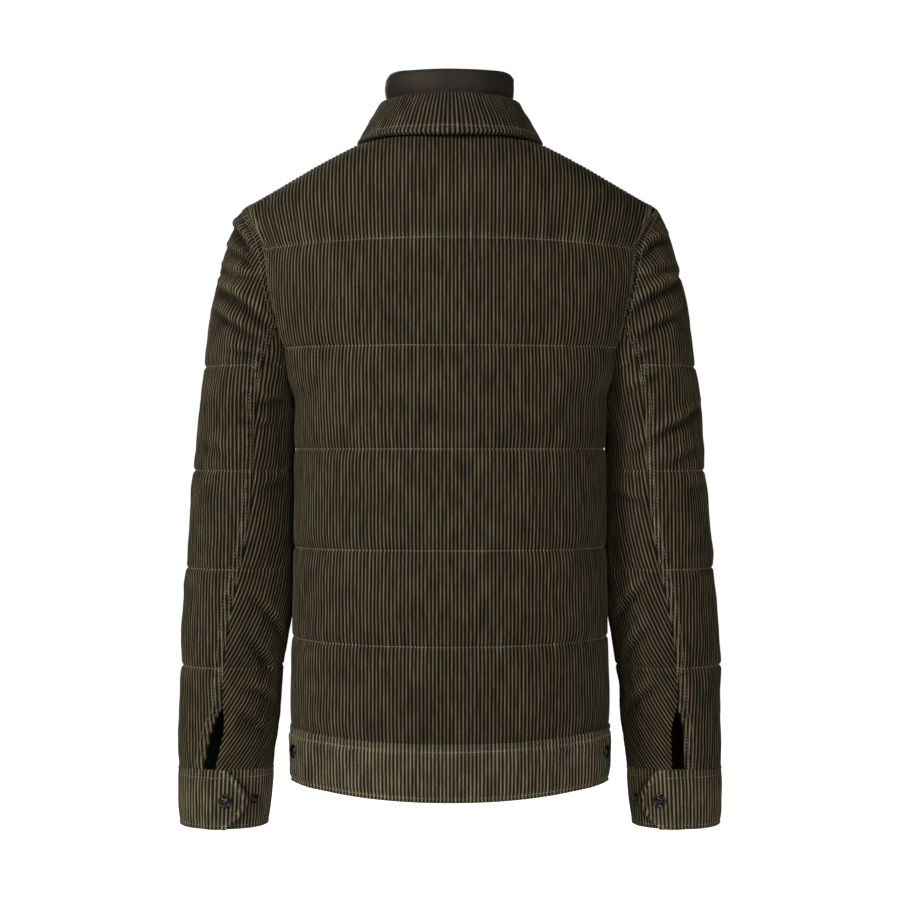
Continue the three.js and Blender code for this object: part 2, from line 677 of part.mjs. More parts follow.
function addSleeve(side) {
  const ventTurn = side === 'left' ? VENT.leftTurn : VENT.rightTurn;
  const heights = sleeveHeights();
  const [, crownEnd] = ARMHOLE_STATIONS;
  const capStations = ARMHOLE_STATIONS.filter((turn) => (
    turn > crownEnd && turn <= SLEEVE_SEAM_STATION));
  const footGap = (z) => z + (z <= CUFF_SEAM_Z ? SEAM_GAP : 0);
  const upper = { outer: [], inner: [] };
  const addRow = (piece, pairs) => {
    piece.outer.push(pairs.map((pair) => pair[0]));
    piece.inner.push(pairs.map((pair) => pair[1]));
  };
  const places = Array.from({ length: UPPER_COLUMNS + 1 }, (_, i) => (2 * i) / UPPER_COLUMNS - 1);
  addRow(upper, places.map((place) => sleeveSeamPoint((360 + place * crownEnd) % 360)));
  for (const station of capStations) {
    const z = armholePoint(station).z;
    const front = sleeveTurnOf(360 - station);
    const back = sleeveTurnOf(station);
    addRow(upper, places.map((place) => {
      const end = station === SLEEVE_SEAM_STATION ? station - JUNCTION_GAP_TURN : station;
      if (Math.abs(place) > EDGE_SHARE) return sleeveSeamPoint(place > 0 ? end : 360 - end);
      return sleeveWallPoint(mix(front, back, (place + 1) / 2), z, 1 - place ** 6);
    }));
  }
  for (const z of heights) {
    const back = seamTurn(z, ventTurn, 'back') - ventOpening(z) - SEAM_TURN_GAP;
    const front = -seamTurn(z, ventTurn, 'front') + SEAM_TURN_GAP;
    addRow(upper, places.map((place) => (
      sleeveWallPoint(mix(front, back, (place + 1) / 2), footGap(z)))));
  }
  addPiece(`sleeve_upper_${side}`, wall(sided(upper.outer, side), sided(upper.inner, side)),
    colours.corduroy);

  const under = { outer: [], inner: [] };
  const low = ARMHOLE_STATIONS.filter((turn) => turn >= SLEEVE_SEAM_STATION);
  const stations = [...low, ...low.slice(0, -1).reverse().map((turn) => 360 - turn)];
  const lastStation = stations.length - 1;
  addRow(under, stations.map((station, i) => {
    const apart = (i === 0) - (i === lastStation);
    return sleeveSeamPoint(station + apart * JUNCTION_GAP_TURN);
  }));
  heights.forEach((height, k) => {
    addRow(under, stations.map((station, i) => {
      const z = Math.min(height, armholePoint(station).z - UNDERARM_STEP * (k + 1));
      const back = seamTurn(z, ventTurn, 'back') + ventOpening(z) + SEAM_TURN_GAP;
      const front = 360 - seamTurn(z, ventTurn, 'front') - SEAM_TURN_GAP;
      const even = mix(back, front, i / lastStation);
      const onSeam = i === 0 || i === lastStation;
      const armTurn = sleeveTurnOf(station);
      const start = armTurn < 0 ? armTurn + 360 : armTurn;
      const turn = onSeam ? even : mix(start, even, smooth(k + 1, 0, UNDER_ROWS_TO_ROUND));
      return sleeveWallPoint(turn, footGap(z), smooth(k + 1, 0, UNDER_ROWS_TO_ROUND));
    }));
  });
  addPiece(`sleeve_under_${side}`, wall(sided(under.outer, side), sided(under.inner, side)),
    colours.corduroy);
}

// A cuff is a band that laps over itself and ends in a pointed tab
function cuffPoint(turn, z, lift) {
  const normal = normalOf(ringPoint, turn, z, 1, 1);
  return ringPoint(turn, z).addScaledVector(normal, lift);
}

function cuffLift(turn, twist) {
  return CUFF.proud + CUFF.lap * smooth(turn - twist, CUFF.lapFrom, CUFF.lapTo);
}

function addCuff(side) {
  const twist = CUFF.twist[side];
  const outer = [];
  const inner = [];
  for (const row of CUFF_ROWS) {
    const z = mix(CUFF_SEAM_Z - SEAM_GAP, CUFF_BOTTOM_Z, row.down);
    const outerRow = [];
    const innerRow = [];
    for (let i = 0; i <= CUFF.columns; i += 1) {
      const t = i / CUFF.columns;
      const cutBack = row.cutBack * (1 - t) ** CUFF_TIP_POWER;
      const turn = twist + mix(CUFF.tabTurn, CUFF.underlapTurn, t) - cutBack;
      const lift = cuffLift(turn, twist);
      outerRow.push(cuffPoint(turn, z, lift));
      innerRow.push(cuffPoint(turn, z, lift - WALL));
    }
    outer.push(outerRow);
    inner.push(innerRow);
  }
  addPiece(`cuff_${side}`, wall(sided(outer, side), sided(inner, side)), colours.corduroy);
}

// The waistband follows the body's section round from one side to the other
function bandPoint(turn, down, lift) {
  const angle = radians(turn);
  const level = mix(WAIST_SEAM_Z - SEAM_GAP, HEM_Z, down);
  const section = bodySection(level);
  const depth = Math.sin(angle) > 0 ? section.backY : -section.frontY;
  const power = 2 / SECTION_POWER;
  const along = (value) => Math.sign(value) * Math.abs(value) ** power;
  const sideZ = edgeHeight(level);
  const x = (section.sideX + lift) * along(Math.cos(angle));
  const y = ARMHOLE.midY + (depth + Math.sign(Math.sin(angle)) * -ARMHOLE.midY + lift)
    * along(Math.sin(angle));
  return new THREE.Vector3(x, y, mix(level, sideZ, (x / section.sideX) ** 2));
}

function addBand(name, fromTurn, toTurn, columns, liftAt) {
  const outer = [];
  const inner = [];
  for (const down of BAND_ROWS) {
    const edge = down === 0 || down === 1 ? 0 : WAISTBAND.puff;
    const turns = Array.from({ length: columns + 1 }, (_, i) => mix(fromTurn, toTurn, i / columns));
    outer.push(turns.map((turn) => bandPoint(turn, down, liftAt(turn) + edge)));
    inner.push(turns.map((turn) => bandPoint(turn, down, liftAt(turn) - WALL)));
  }
  addPiece(name, wall(outer, inner), colours.corduroy);
}

function addWaistband() {
  const lapped = (turn) => WAISTBAND.proud + WAISTBAND.lap
    * (1 - smooth(Math.min(turn, 180 - turn), WAISTBAND.lapTo, WAISTBAND.lapFrom));
  const plain = () => WAISTBAND.proud;
  const { endTurn, underTurn, backColumns, frontColumns } = WAISTBAND;
  const closing = -90 - WAISTBAND.frontLap;
  addBand('waistband_back', 180 - endTurn, endTurn, backColumns, lapped);
  addBand('waistband_front_left', underTurn, closing, frontColumns, plain);
  addBand('waistband_front_right', closing - WAISTBAND.frontGap, -180 - underTurn, frontColumns, plain);
}

// The neck is an oval ring; turn 90 is at the back, -90 at the front
function neckPoint(turn, offset, height) {
  const angle = radians(turn);
  const end = Math.sin(angle) > 0 ? NECK_BACK : NECK_FRONT;
  const depth = Math.abs(end.y - NECK_SIDE.y);
  const fall = mix(NECK_SIDE.z, end.z, Math.abs(Math.sin(angle)) ** 2);
  return new THREE.Vector3((NECK_HALF_WIDTH + offset) * Math.cos(angle),
    NECK_SIDE.y + (depth + offset) * Math.sin(angle), fall + height);
}

function addStandCollar() {
  const outer = [];
  const inner = [];
  for (const row of STAND_ROWS) {
    const outerRow = [];
    const innerRow = [];
    for (let i = 0; i <= STAND.columns; i += 1) {
      const turn = mix(-90 + STAND.endTurn, 270 - STAND.endTurn, i / STAND.columns);
      const toFront = smooth(-Math.sin(radians(turn)), -0.75, 0.9);
      const free = Math.max(0, row.height - STAND.freeHeight);
      const height = row.height - free * STAND.frontDrop * toFront;
      outerRow.push(neckPoint(turn, row.offset, height));
      innerRow.push(neckPoint(turn, row.offset - STAND.thick, height));
    }
    outer.push(outerRow);
    inner.push(innerRow);
  }
  addPiece('stand_collar', wall(outer, inner), colours.satin);
}

function addCollar() {
  const face = [];
  const under = [];
  for (const row of COLLAR_ROWS) {
    const faceRow = [];
    const underRow = [];
    for (let i = 0; i <= COLLAR.columns; i += 1) {
      const t = (2 * i) / COLLAR.columns - 1;
      const fromBack = Math.abs(t) * (180 - COLLAR.endTurn);
      const spread = 1 - COLLAR.spread * row.leaf * (fromBack / 180) ** 2;
      const turn = 90 + Math.sign(t) * fromBack * spread;
      const sideways = Math.abs(Math.cos(radians(turn)));
      const front = smooth(-Math.sin(radians(turn)), 0, 1);
      const offset = row.offset + row.leaf * (COLLAR_LEAF.sideways * sideways
        + COLLAR_LEAF.front * front);
      const corner = Math.sin(2 * radians(turn)) ** 2;
      const cornerRise = front > 0 ? COLLAR_LEAF.frontCorner : COLLAR_LEAF.backCorner;
      const height = row.height + row.leaf * (COLLAR_LEAF.sideRise * sideways
        + COLLAR_LEAF.frontRise * front + cornerRise * corner);
      faceRow.push(neckPoint(turn, offset, height));
      underRow.push(neckPoint(turn, offset - row.inX, height - row.inZ));
    }
    face.push(faceRow);
    under.push(underRow);
  }
  addPiece('collar', wall(face, under), colours.corduroy);
}

// A snap: a domed cap inside a raised ring, turned round its own axis
function snapGeometry(radius) {
  const profile = SNAP_PROFILE.map((p) => new THREE.Vector2(p.out * radius, p.up));
  return new THREE.LatheGeometry(profile, SNAP_SIDES).rotateX(Math.PI / 2);
}

function addSnap(name, point, normal, radius, clearance) {
  const mesh = addPiece(name, snapGeometry(radius), colours.gunmetal);
  mesh.position.copy(point).addScaledVector(normal, clearance);
  mesh.quaternion.setFromUnitVectors(new THREE.Vector3(0, 0, 1), normal);
}

function addSnaps() {
  for (const side of ['left', 'right']) {
    const twist = CUFF.twist[side];
    const places = [
      { name: `snap_cuff_${side}`, turn: CUFF.snapTurn + twist, radius: SNAP_RADIUS },
      { name: `snap_cuff_spare_${side}`, turn: CUFF.spareTurn + twist, radius: SPARE_SNAP_RADIUS },
    ];
    for (const place of places) {
      const overTab = place.turn - twist < CUFF.tabTurn;
      const lift = CUFF.proud + (overTab ? CUFF.lap : 0);
      const point = cuffPoint(place.turn, CUFF.snapZ, lift);
      const normal = normalOf(ringPoint, place.turn, CUFF.snapZ, 1, 1);
      if (side === 'right') {
        point.x *= -1;
        normal.x *= -1;
      }
      addSnap(place.name, point, normal, place.radius, SEAM_GAP);
    }
    const turn = side === 'left' ? WAISTBAND.snapTurn : 180 - WAISTBAND.snapTurn;
    const band = (a, b) => bandPoint(a, b, WAISTBAND.proud + WAISTBAND.lap + WAISTBAND.puff);
    const normal = normalOf(band, turn, WAISTBAND.snapDown, 1, 0.02);
    if (normal.y < 0) normal.negate();
    addSnap(`snap_waist_${side}`, band(turn, WAISTBAND.snapDown), normal, SNAP_RADIUS, SEAM_GAP);
  }
  PLACKET_SNAP_RISES.forEach((rise, i) => {
    const across = mix(PLACKET.edge, PLACKET.stitched, 0.5);
    const point = placketPoint(across, rise, SEAM_GAP + PLACKET.lift + PLACKET.snapLift);
    const normal = placketPoint(across, rise, SEAM_GAP + PLACKET.lift + 1).sub(point).normalize();
    addSnap(`snap_front_${i + 1}`, point, normal, SNAP_RADIUS, SEAM_GAP);
  });
}

addBody();
addPlacket();
for (const side of ['left', 'right']) {
  addSleeve(side);
  addCuff(side);
}
addWaistband();
addStandCollar();
addCollar();
addSnaps();

export default group;
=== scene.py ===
# Quilted corduroy jacket in its worn shape: the cloth, snaps and stitching that show, in metres.
# +X is the wearer's left and the wearer faces -Y. Sizes below are in millimetres.

import math

import bmesh
import bpy
import numpy as np
from mathutils import Matrix, Vector


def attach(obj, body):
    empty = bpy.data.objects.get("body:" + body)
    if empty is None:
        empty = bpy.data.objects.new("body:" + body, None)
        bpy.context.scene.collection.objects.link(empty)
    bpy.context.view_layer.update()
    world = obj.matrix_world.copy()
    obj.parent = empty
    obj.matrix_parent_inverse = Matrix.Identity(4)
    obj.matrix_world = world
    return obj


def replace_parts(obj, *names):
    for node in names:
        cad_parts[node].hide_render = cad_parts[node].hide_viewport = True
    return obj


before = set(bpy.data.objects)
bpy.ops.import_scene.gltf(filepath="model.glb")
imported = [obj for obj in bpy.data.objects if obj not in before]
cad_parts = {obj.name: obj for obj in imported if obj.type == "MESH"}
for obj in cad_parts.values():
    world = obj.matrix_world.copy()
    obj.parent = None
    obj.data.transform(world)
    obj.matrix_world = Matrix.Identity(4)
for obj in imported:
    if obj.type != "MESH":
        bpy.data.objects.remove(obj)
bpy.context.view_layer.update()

MM = 0.001

# Driving sizes of the cut
WALL = 3.0
PUFF = 2.6
STITCH_HALF_WIDTH = 26.0
HEM_Z = -657.0
WAIST_SEAM_Z = -598.0
CUFF_SEAM_Z = -636.0
CUFF_BOTTOM_Z = -697.0
NECK_HALF_WIDTH = 72.0
NECK_BACK = (64.0, 8.0)
NECK_SIDE = (-5.0, 6.0)
NECK_FRONT = (-80.0, -50.0)
NECK_SHARE = 0.4
SHOULDER_CROWN = 6.5
SECTION_POWER = 2.4
YOKE_TURN = 60.0
YOKE_HEIGHT = 105.0
ARM_MID_Y, ARM_HALF_DEPTH = -3.0, 63.0
ARM_MID_Z, ARM_HALF_HEIGHT = -155.0, 95.0
ARM_FRONT_SCOOP = 5.0
UNDERARM_Z = ARM_MID_Z - ARM_HALF_HEIGHT
SLEEVE_SEAM_STATION = 106.0
FRONT_SEAM_TURN = 104.0
SNAP_RADIUS = 7.0
SPARE_SNAP_RADIUS = 5.0

# The pile: one wale is a ridge and half a valley on each side
WALE = 3.7
WALE_HEIGHT = 1.25
STEPS_TO_A_WALE = 4
YOKE_FAN = 0.12
UNDER_SLANT_LOW, UNDER_SLANT_HIGH, UNDER_SLANT_RUN = 0.56, 0.06, 336.0
UNDER_WALE_SHARE = 0.93

BODY_LINES = [-100.0, -206.0, -308.0, -408.0, -503.0]
SLEEVE_LINES = [-131.0, -224.0, -330.0, -430.0, -531.0]
STITCH_WIDTH = 1.7
STITCH_DEPTH = 1.0


class Curves:
    """Smooth curves through the columns of a short table, by its first column."""

    def __init__(self, names, *rows):
        table = np.array(sorted(rows), dtype=float)
        self.key = table[:, 0]
        self.columns = dict(zip(names.split(), table.T))

    def at(self, name, value):
        x, y = self.key, self.columns[name]
        slope = np.gradient(y)
        slope[1:-1] = (y[2:] - y[:-2]) / (x[2:] - x[:-2])
        slope[0] = (y[1] - y[0]) / (x[1] - x[0])
        slope[-1] = (y[-1] - y[-2]) / (x[-1] - x[-2])
        i = np.clip(np.searchsorted(x, value) - 1, 0, len(x) - 2)
        span = x[i + 1] - x[i]
        t = np.clip((value - x[i]) / span, 0, 1)
        rise = y[i + 1] - y[i]
        start, end = slope[i] * span, slope[i + 1] * span
        return y[i] + t * (start + t * (3 * rise - 2 * start - end + t * (start + end - 2 * rise)))


ARM_REACH = Curves(
    "z x", (-252, 160.5), (-205, 167.5), (-154, 179.5), (-103, 187), (-80, 198), (-59, 212.5))
BODY = Curves(
    "z side back front",
    (-670, 161, 106, -105), (-598, 162, 108, -105), (-505, 160.5, 111, -105),
    (-408, 158.5, 113, -106), (-308, 158, 115, -108), (-250, 158.5, 117, -109),
    (-206, 160, 118, -109), (-150, 160, 118, -106), (-90, 160, 115, -97))
SLEEVE = Curves(
    "z out in mid depth",
    (-59, 211, 160, -4, 22), (-68, 213, 160, -4, 34), (-80, 219.5, 160, -4, 45),
    (-105, 228, 160.5, -4, 58), (-130, 235.5, 161, -4.5, 66), (-155, 240.5, 161, -5, 71),
    (-204, 248, 161.5, -5.5, 73), (-252, 254, 162.8, -7, 72), (-300, 258.5, 164.8, -9, 68),
    (-352, 264, 165, -11, 64), (-402, 268, 165, -13, 61), (-451, 272.5, 165.2, -15, 58),
    (-500, 275.5, 169.6, -17, 54.5), (-550, 278, 175.8, -19.5, 50.5),
    (-587, 279, 179, -22, 47), (-636, 280.5, 185, -24, 43.5), (-700, 279, 191, -24, 42.5))
BACK_SEAM = Curves(
    "z turn", (-212, 113), (-235, 109.5), (-260, 108), (-326, 108), (-366, 106), (-414, 99),
    (-467, 89), (-529, 85), (-573, 86))
BACK_SEAM_TOP_Z = -212.0
VENT_TOP_Z = -571.0
VENT_HALF_TURN = 8.0
VENT_OPENING_RATE = 2.0
VENT_TURN = {"left": 73.0, "right": 89.0}

# Folds in the sleeves: from a turn and height to another, depth and half width
FOLDS = {
    "left": [
        (5.2, 5.0, (8, -80), (40, -89), (66, -102), (104, -128)), (3.4, 4.0, (10, -102), (70, -116), (104, -136)),
        (2.4, 3.6, (40, -74), (66, -84), (92, -108)), (2.8, 4.5, (4, -124), (60, -133), (106, -141)),
        (5.8, 6.0, (4, -140), (34, -149), (66, -158), (92, -171), (122, -192)),
        (3.4, 5.0, (10, -160), (60, -181), (116, -204)), (2.2, 4.0, (60, -208), (116, -218)),
        (2.2, 4.0, (88, -252), (118, -256)), (2.4, 5.0, (95, -266), (150, -258)),
        (2.4, 4.0, (84, -278), (132, -286)), (1.6, 8.0, (20, -300), (80, -318)),
        (1.8, 6.0, (112, -352), (160, -338)), (3.0, 5.0, (104, -455), (130, -478), (165, -514)),
        (2.6, 5.0, (103, -496), (150, -544)), (3.0, 5.0, (100, -550), (130, -558), (165, -578)),
        (2.2, 4.5, (99, -574), (150, -606)), (1.4, 8.0, (-30, -470), (50, -452)),
        (2.8, 8.0, (-100, -210), (-20, -190)), (2.4, 8.0, (-100, -300), (-30, -290)),
        (2.2, 8.0, (-105, -520), (-40, -500)),
    ],
    "right": [
        (3.2, 4.0, (30, -72), (60, -78), (98, -94)), (4.2, 4.6, (10, -92), (70, -103), (110, -122)),
        (2.6, 4.5, (22, -124), (60, -128), (104, -138)),
        (4.6, 5.5, (6, -128), (30, -138), (65, -149), (98, -162), (122, -176)),
        (3.4, 5.0, (30, -166), (80, -184), (116, -200)), (2.0, 4.0, (84, -210), (120, -218)),
        (4.0, 6.0, (4, -262), (40, -274), (80, -290), (134, -318)), (2.4, 4.0, (80, -232), (126, -250)),
        (2.0, 6.0, (30, -304), (92, -330)), (1.4, 7.0, (10, -345), (70, -352)),
        (2.0, 5.0, (104, -366), (160, -350)), (3.0, 5.0, (104, -440), (130, -462), (162, -494)),
        (2.4, 5.0, (103, -482), (152, -530)), (3.0, 5.0, (102, -546), (130, -562), (162, -586)),
        (1.4, 8.0, (-20, -420), (50, -432)), (2.8, 8.0, (-100, -205), (-20, -188)),
        (2.4, 8.0, (-100, -290), (-30, -300)), (2.2, 8.0, (-105, -512), (-40, -498)),
    ],
}
MM_TO_A_DEGREE = 0.95
FOLD_RIDGE = 0.75
SLEEVE_PUFF = 1.5
ROPE = 1.1
# Painted shade in the sleeves' fold troughs and painted highlight on the fold ridges, per millimetre of fold lift
FOLD_SHADE_AND_HIGHLIGHT = 0.2
# How much paler the stitch lines are, and the strength of the painted highlight on raised rolls at seams and
# edges
SEAM_TONE = 0.7
INSIDE_FILL = 3.6
EASE = 9.0
SIDE_SEAM_DEPTH = 0.3
ARMHOLE_ROLL = 1.6
CAP_TURN, CAP_TUCK, CAP_RISE = 11.0, 4.0, 1.2
SEAM_SHADE = {"left": 0.05, "right": 0.45}
SHOULDER_FLAT = (20.0, 75.0)
SHOULDER_SINK = 5.5


def cosd(turn):
    return np.cos(np.radians(turn))


def sind(turn):
    return np.sin(np.radians(turn))


def mix(a, b, share):
    return a + (b - a) * share


def smooth(value, low, high):
    t = np.clip((value - low) / (high - low), 0, 1)
    return t * t * (3 - 2 * t)


def signed_power(value, power):
    return np.sign(value) * np.abs(value) ** power


def arc_length(points):
    """Distance along a row of points from its first one."""
    steps = np.linalg.norm(np.diff(points, axis=0), axis=1)
    return np.concatenate([[0.0], np.cumsum(steps)])


def ripple(a, b, seed):
    """Soft unevenness, about -1 to 1, over two coordinates measured in its own wavelengths."""
    picks = np.random.default_rng(seed)
    total = 0.0
    for _ in range(7):
        way, phase = picks.uniform(0, 2 * math.pi, 2)
        pace = picks.uniform(0.6, 1.7) * 2 * math.pi
        total = total + np.sin(pace * (a * math.cos(way) + b * math.sin(way)) + phase)
    return total / 3.4


def stitched(height, lines, half_width=STITCH_HALF_WIDTH):
    """Lift between quilting lines, from 0 on a line to 1 midway."""
    nearest = np.min([np.abs(height - line) for line in lines], axis=0)
    return np.sin(np.minimum(1, nearest / half_width) * math.pi / 2) ** 0.8


def groove(height, lines, width=STITCH_WIDTH):
    nearest = np.min([np.abs(height - line) for line in lines], axis=0)
    return np.exp(-((nearest / width) ** 2))


# Shapes of the body

def armhole(turn):
    """The left armhole seam by degrees from the shoulder: 90 is at the back, 270 at the front."""
    turn = np.asarray(turn, dtype=float)
    z = ARM_MID_Z + ARM_HALF_HEIGHT * cosd(turn)
    y = ARM_MID_Y + ARM_HALF_DEPTH * sind(turn)
    x = ARM_REACH.at("x", z) - ARM_FRONT_SCOOP * np.maximum(0, -sind(turn))
    return np.stack([x, y, z], axis=-1)


def edge_height(level):
    """Height of a body row at its side edge, where its height at the middle is level."""
    low = level + 13.0 * np.maximum(0, (-408.0 - level) / (-408.0 - HEM_Z)) ** 1.3
    high = level - 7.0 * smooth(level, BODY_LINES[1], BODY_LINES[0])
    return np.where(level > BODY_LINES[1], high, low)


def level_of_edge(z):
    levels = np.linspace(-700, -90, 4000)
    return np.interp(z, edge_height(levels), levels)


def body_edge(level, back):
    z = float(edge_height(level))
    underarm = np.array([BODY.at("side", UNDERARM_Z), ARM_MID_Y, UNDERARM_Z])
    if z <= UNDERARM_Z:
        return np.array([BODY.at("side", z), ARM_MID_Y, z])
    turn = math.degrees(math.acos(np.clip((z - ARM_MID_Z) / ARM_HALF_HEIGHT, -1, 1)))
    seam = armhole(turn if back else 360 - turn)
    return mix(underarm, seam, smooth(z, UNDERARM_Z, UNDERARM_Z + 1))


def body_top(share, back):
    """Half of the neckline, then the shoulder seam."""
    end_y, end_z = NECK_BACK if back else NECK_FRONT
    turn = 90 * np.minimum(1, share / NECK_SHARE)
    neck = np.stack([
        NECK_HALF_WIDTH * sind(turn), mix(NECK_SIDE[0], end_y, cosd(turn)),
        mix(NECK_SIDE[1], end_z, cosd(turn) ** 2)], axis=-1)
    along = np.clip((share - NECK_SHARE) / (1 - NECK_SHARE), 0, 1)[:, None]
    side = np.array([NECK_HALF_WIDTH, *NECK_SIDE])
    shoulder = mix(side, armhole(0.0), along)
    shoulder[:, 2] += SHOULDER_CROWN * np.sin(math.pi * along[:, 0])
    return np.where((share < NECK_SHARE)[:, None], neck, shoulder)


def body_row(across, rise, back):
    """One row of a body panel. rise is millimetres below the first quilting line where it is
    negative, and runs from 0 there to 1 at the shoulder seam."""
    share = np.abs(across)
    level = BODY_LINES[0] + min(rise, 0)
    middle_y = BODY.at("back" if back else "front", level)
    edge = body_edge(level, back)
    hung = np.clip((edge[2] - UNDERARM_Z) / 40, 0, 1)
    x = edge[0] * sind(90 * share) ** (2 / SECTION_POWER)
    y = edge[1] + (middle_y - edge[1]) * cosd(90 * share) ** (2 / mix(SECTION_POWER, 1.35, hung))
    points = np.stack([x, y, mix(level, edge[2], (x / edge[0]) ** 2)], axis=-1)
    if rise > 0:
        inward = 1 - cosd(90 * rise) ** (2 / SECTION_POWER)
        upward = sind(90 * rise) ** (2 / SECTION_POWER)
        blend = np.array([inward, inward, upward])
        points = mix(points, body_top(share, back), blend)
        turn = YOKE_TURN * (1 - rise)
        seam = armhole(turn if back else 360 - turn)
        points += (seam - mix(edge, armhole(0.0), blend)) * share[:, None] ** 6
    points[:, 0] *= np.where(across < 0, -1, 1)
    return points


def spaced(places, least):
    """The places in order, without those that lie closer together than least."""
    kept = []
    for place in sorted(places):
        if not kept or place - kept[-1] >= least:
            kept.append(place)
    return kept


LINE_OFFSETS = [0, 0.9, 2.0, 3.4, 5.5, 9]


def around_lines(lines):
    return [line + side * offset for line in lines for offset in LINE_OFFSETS for side in (-1, 1)]


def body_rises():
    """Rows of a body panel from the waist seam to the shoulder seam."""
    levels = list(np.arange(WAIST_SEAM_Z, BODY_LINES[0], 6.0))
    turns = np.arange(YOKE_TURN + 4, 180, 4)
    levels += list(level_of_edge(armhole(turns)[:, 2]))
    levels += around_lines(BODY_LINES) + [WAIST_SEAM_Z + 1.2, WAIST_SEAM_Z + 3]
    levels = [level for level in levels if WAIST_SEAM_Z <= level < BODY_LINES[0] - 0.5]
    first = spaced([level - BODY_LINES[0] for level in levels], 0.7)
    above = [0, 0.009, 0.02, 0.035, 0.055] + list(np.arange(0.085, 0.99, 0.042)) + [0.99, 1.0]
    return first + above


# Shapes of the sleeves

def ring(turn, z):
    """A sleeve section at height z; turn 0 is the outer line and 90 the back."""
    middle = (SLEEVE.at("out", z) + SLEEVE.at("in", z)) / 2
    half = (SLEEVE.at("out", z) - SLEEVE.at("in", z)) / 2
    y = SLEEVE.at("mid", z) + SLEEVE.at("depth", z) * sind(turn)
    return np.stack(np.broadcast_arrays(middle + half * cosd(turn), y, z), axis=-1)


def sleeve_turn(station):
    """Where a place on the armhole seam lies round the sleeve's own sections."""
    station = np.asarray(station, dtype=float)
    point = armhole(station)
    z = point[..., 2]
    middle = (SLEEVE.at("out", z) + SLEEVE.at("in", z)) / 2
    half = (SLEEVE.at("out", z) - SLEEVE.at("in", z)) / 2
    turn = np.degrees(np.arctan2(
        (point[..., 1] - SLEEVE.at("mid", z)) / SLEEVE.at("depth", z), (point[..., 0] - middle) / half))
    return np.where((station > 180) & (turn > 0), turn - 360, turn)


def wrapped(turn):
    return (turn + 540) % 360 - 180


PULL_STATIONS = np.arange(0, 360, 6.0)
PULL_POINTS = armhole(PULL_STATIONS)
PULL_TURNS = sleeve_turn(PULL_STATIONS)
PULLS = PULL_POINTS - ring(PULL_TURNS, PULL_POINTS[:, 2])


def sleeve_surface(turn, z):
    """The sleeve's sections, drawn in to the armhole seam near it."""
    turn, z = np.broadcast_arrays(np.asarray(turn, dtype=float), np.asarray(z, dtype=float))
    around = wrapped(turn[..., None] - PULL_TURNS) * MM_TO_A_DEGREE
    distance = np.hypot(around, z[..., None] - PULL_POINTS[:, 2])
    weight = np.exp(-((distance / 7) ** 2))
    total = weight.sum(axis=-1)
    reach = np.exp(-((distance.min(axis=-1) / 30) ** 2)) / np.maximum(total, 1e-30)
    return ring(turn, z) + (weight @ PULLS) * reach[..., None]


def seam_turn(z, side, back):
    """Degrees round the sleeve of its back or front seam."""
    station = SLEEVE_SEAM_STATION if back else 360 - SLEEVE_SEAM_STATION
    upper = abs(float(sleeve_turn(station)))
    top_z = float(armhole(SLEEVE_SEAM_STATION)[2])
    z = np.asarray(z, dtype=float)
    high = np.clip((top_z - z) / (top_z - BACK_SEAM_TOP_Z), 0, 1)
    if not back:
        return mix(upper, FRONT_SEAM_TURN, high)
    seam = np.where(z > BACK_SEAM_TOP_Z, mix(upper, BACK_SEAM.at("turn", BACK_SEAM_TOP_Z), high),
                    BACK_SEAM.at("turn", z))
    low = np.clip((VENT_TOP_Z - z) / (VENT_TOP_Z - CUFF_SEAM_Z), 0, 1)
    return mix(seam, VENT_TURN[side], low)


def vent_opening(z):
    low = np.clip((VENT_TOP_Z - z) / (VENT_TOP_Z - CUFF_SEAM_Z), 0, 1)
    return VENT_HALF_TURN * sind(90 * np.minimum(1, low * VENT_OPENING_RATE))


def folds(turn, z, side):
    """How far the sleeve's face sinks in its folds and rises on the upper side of them."""
    shape = np.broadcast(turn, z).shape
    lift = np.zeros(shape)
    for depth, width, *stations in FOLDS[side]:
        nearest, signed, share = np.full(shape, np.inf), np.zeros(shape), np.zeros(shape)
        legs = list(zip(stations, stations[1:]))
        for k, ((turn_a, z_a), (turn_b, z_b)) in enumerate(legs):
            along_x, along_z = (turn_b - turn_a) * MM_TO_A_DEGREE, z_b - z_a
            from_x, from_z = wrapped(turn - turn_a) * MM_TO_A_DEGREE, z - z_a
            t = np.clip((from_x * along_x + from_z * along_z) / (along_x ** 2 + along_z ** 2), 0, 1)
            off_x, off_z = from_x - t * along_x, from_z - t * along_z
            apart = np.hypot(off_x, off_z)
            closer = apart < nearest
            above = np.sign(along_x * off_z - along_z * off_x)
            signed = np.where(closer, apart * above, signed)
            share = np.where(closer, (k + t) / len(legs), share)
            nearest = np.minimum(nearest, apart)
        fade = np.sin(math.pi * share) ** 0.7 * mix(0.3, 1.0, smooth(np.abs(turn), 2, 30))
        ridge = FOLD_RIDGE * np.exp(-((signed / width - 1.5) ** 2))
        lift += depth * fade * (ridge - np.exp(-((signed / width / 0.8) ** 2)))
    return lift


# Cloth in wales: rows of points across a piece, with how far each lies across the wales

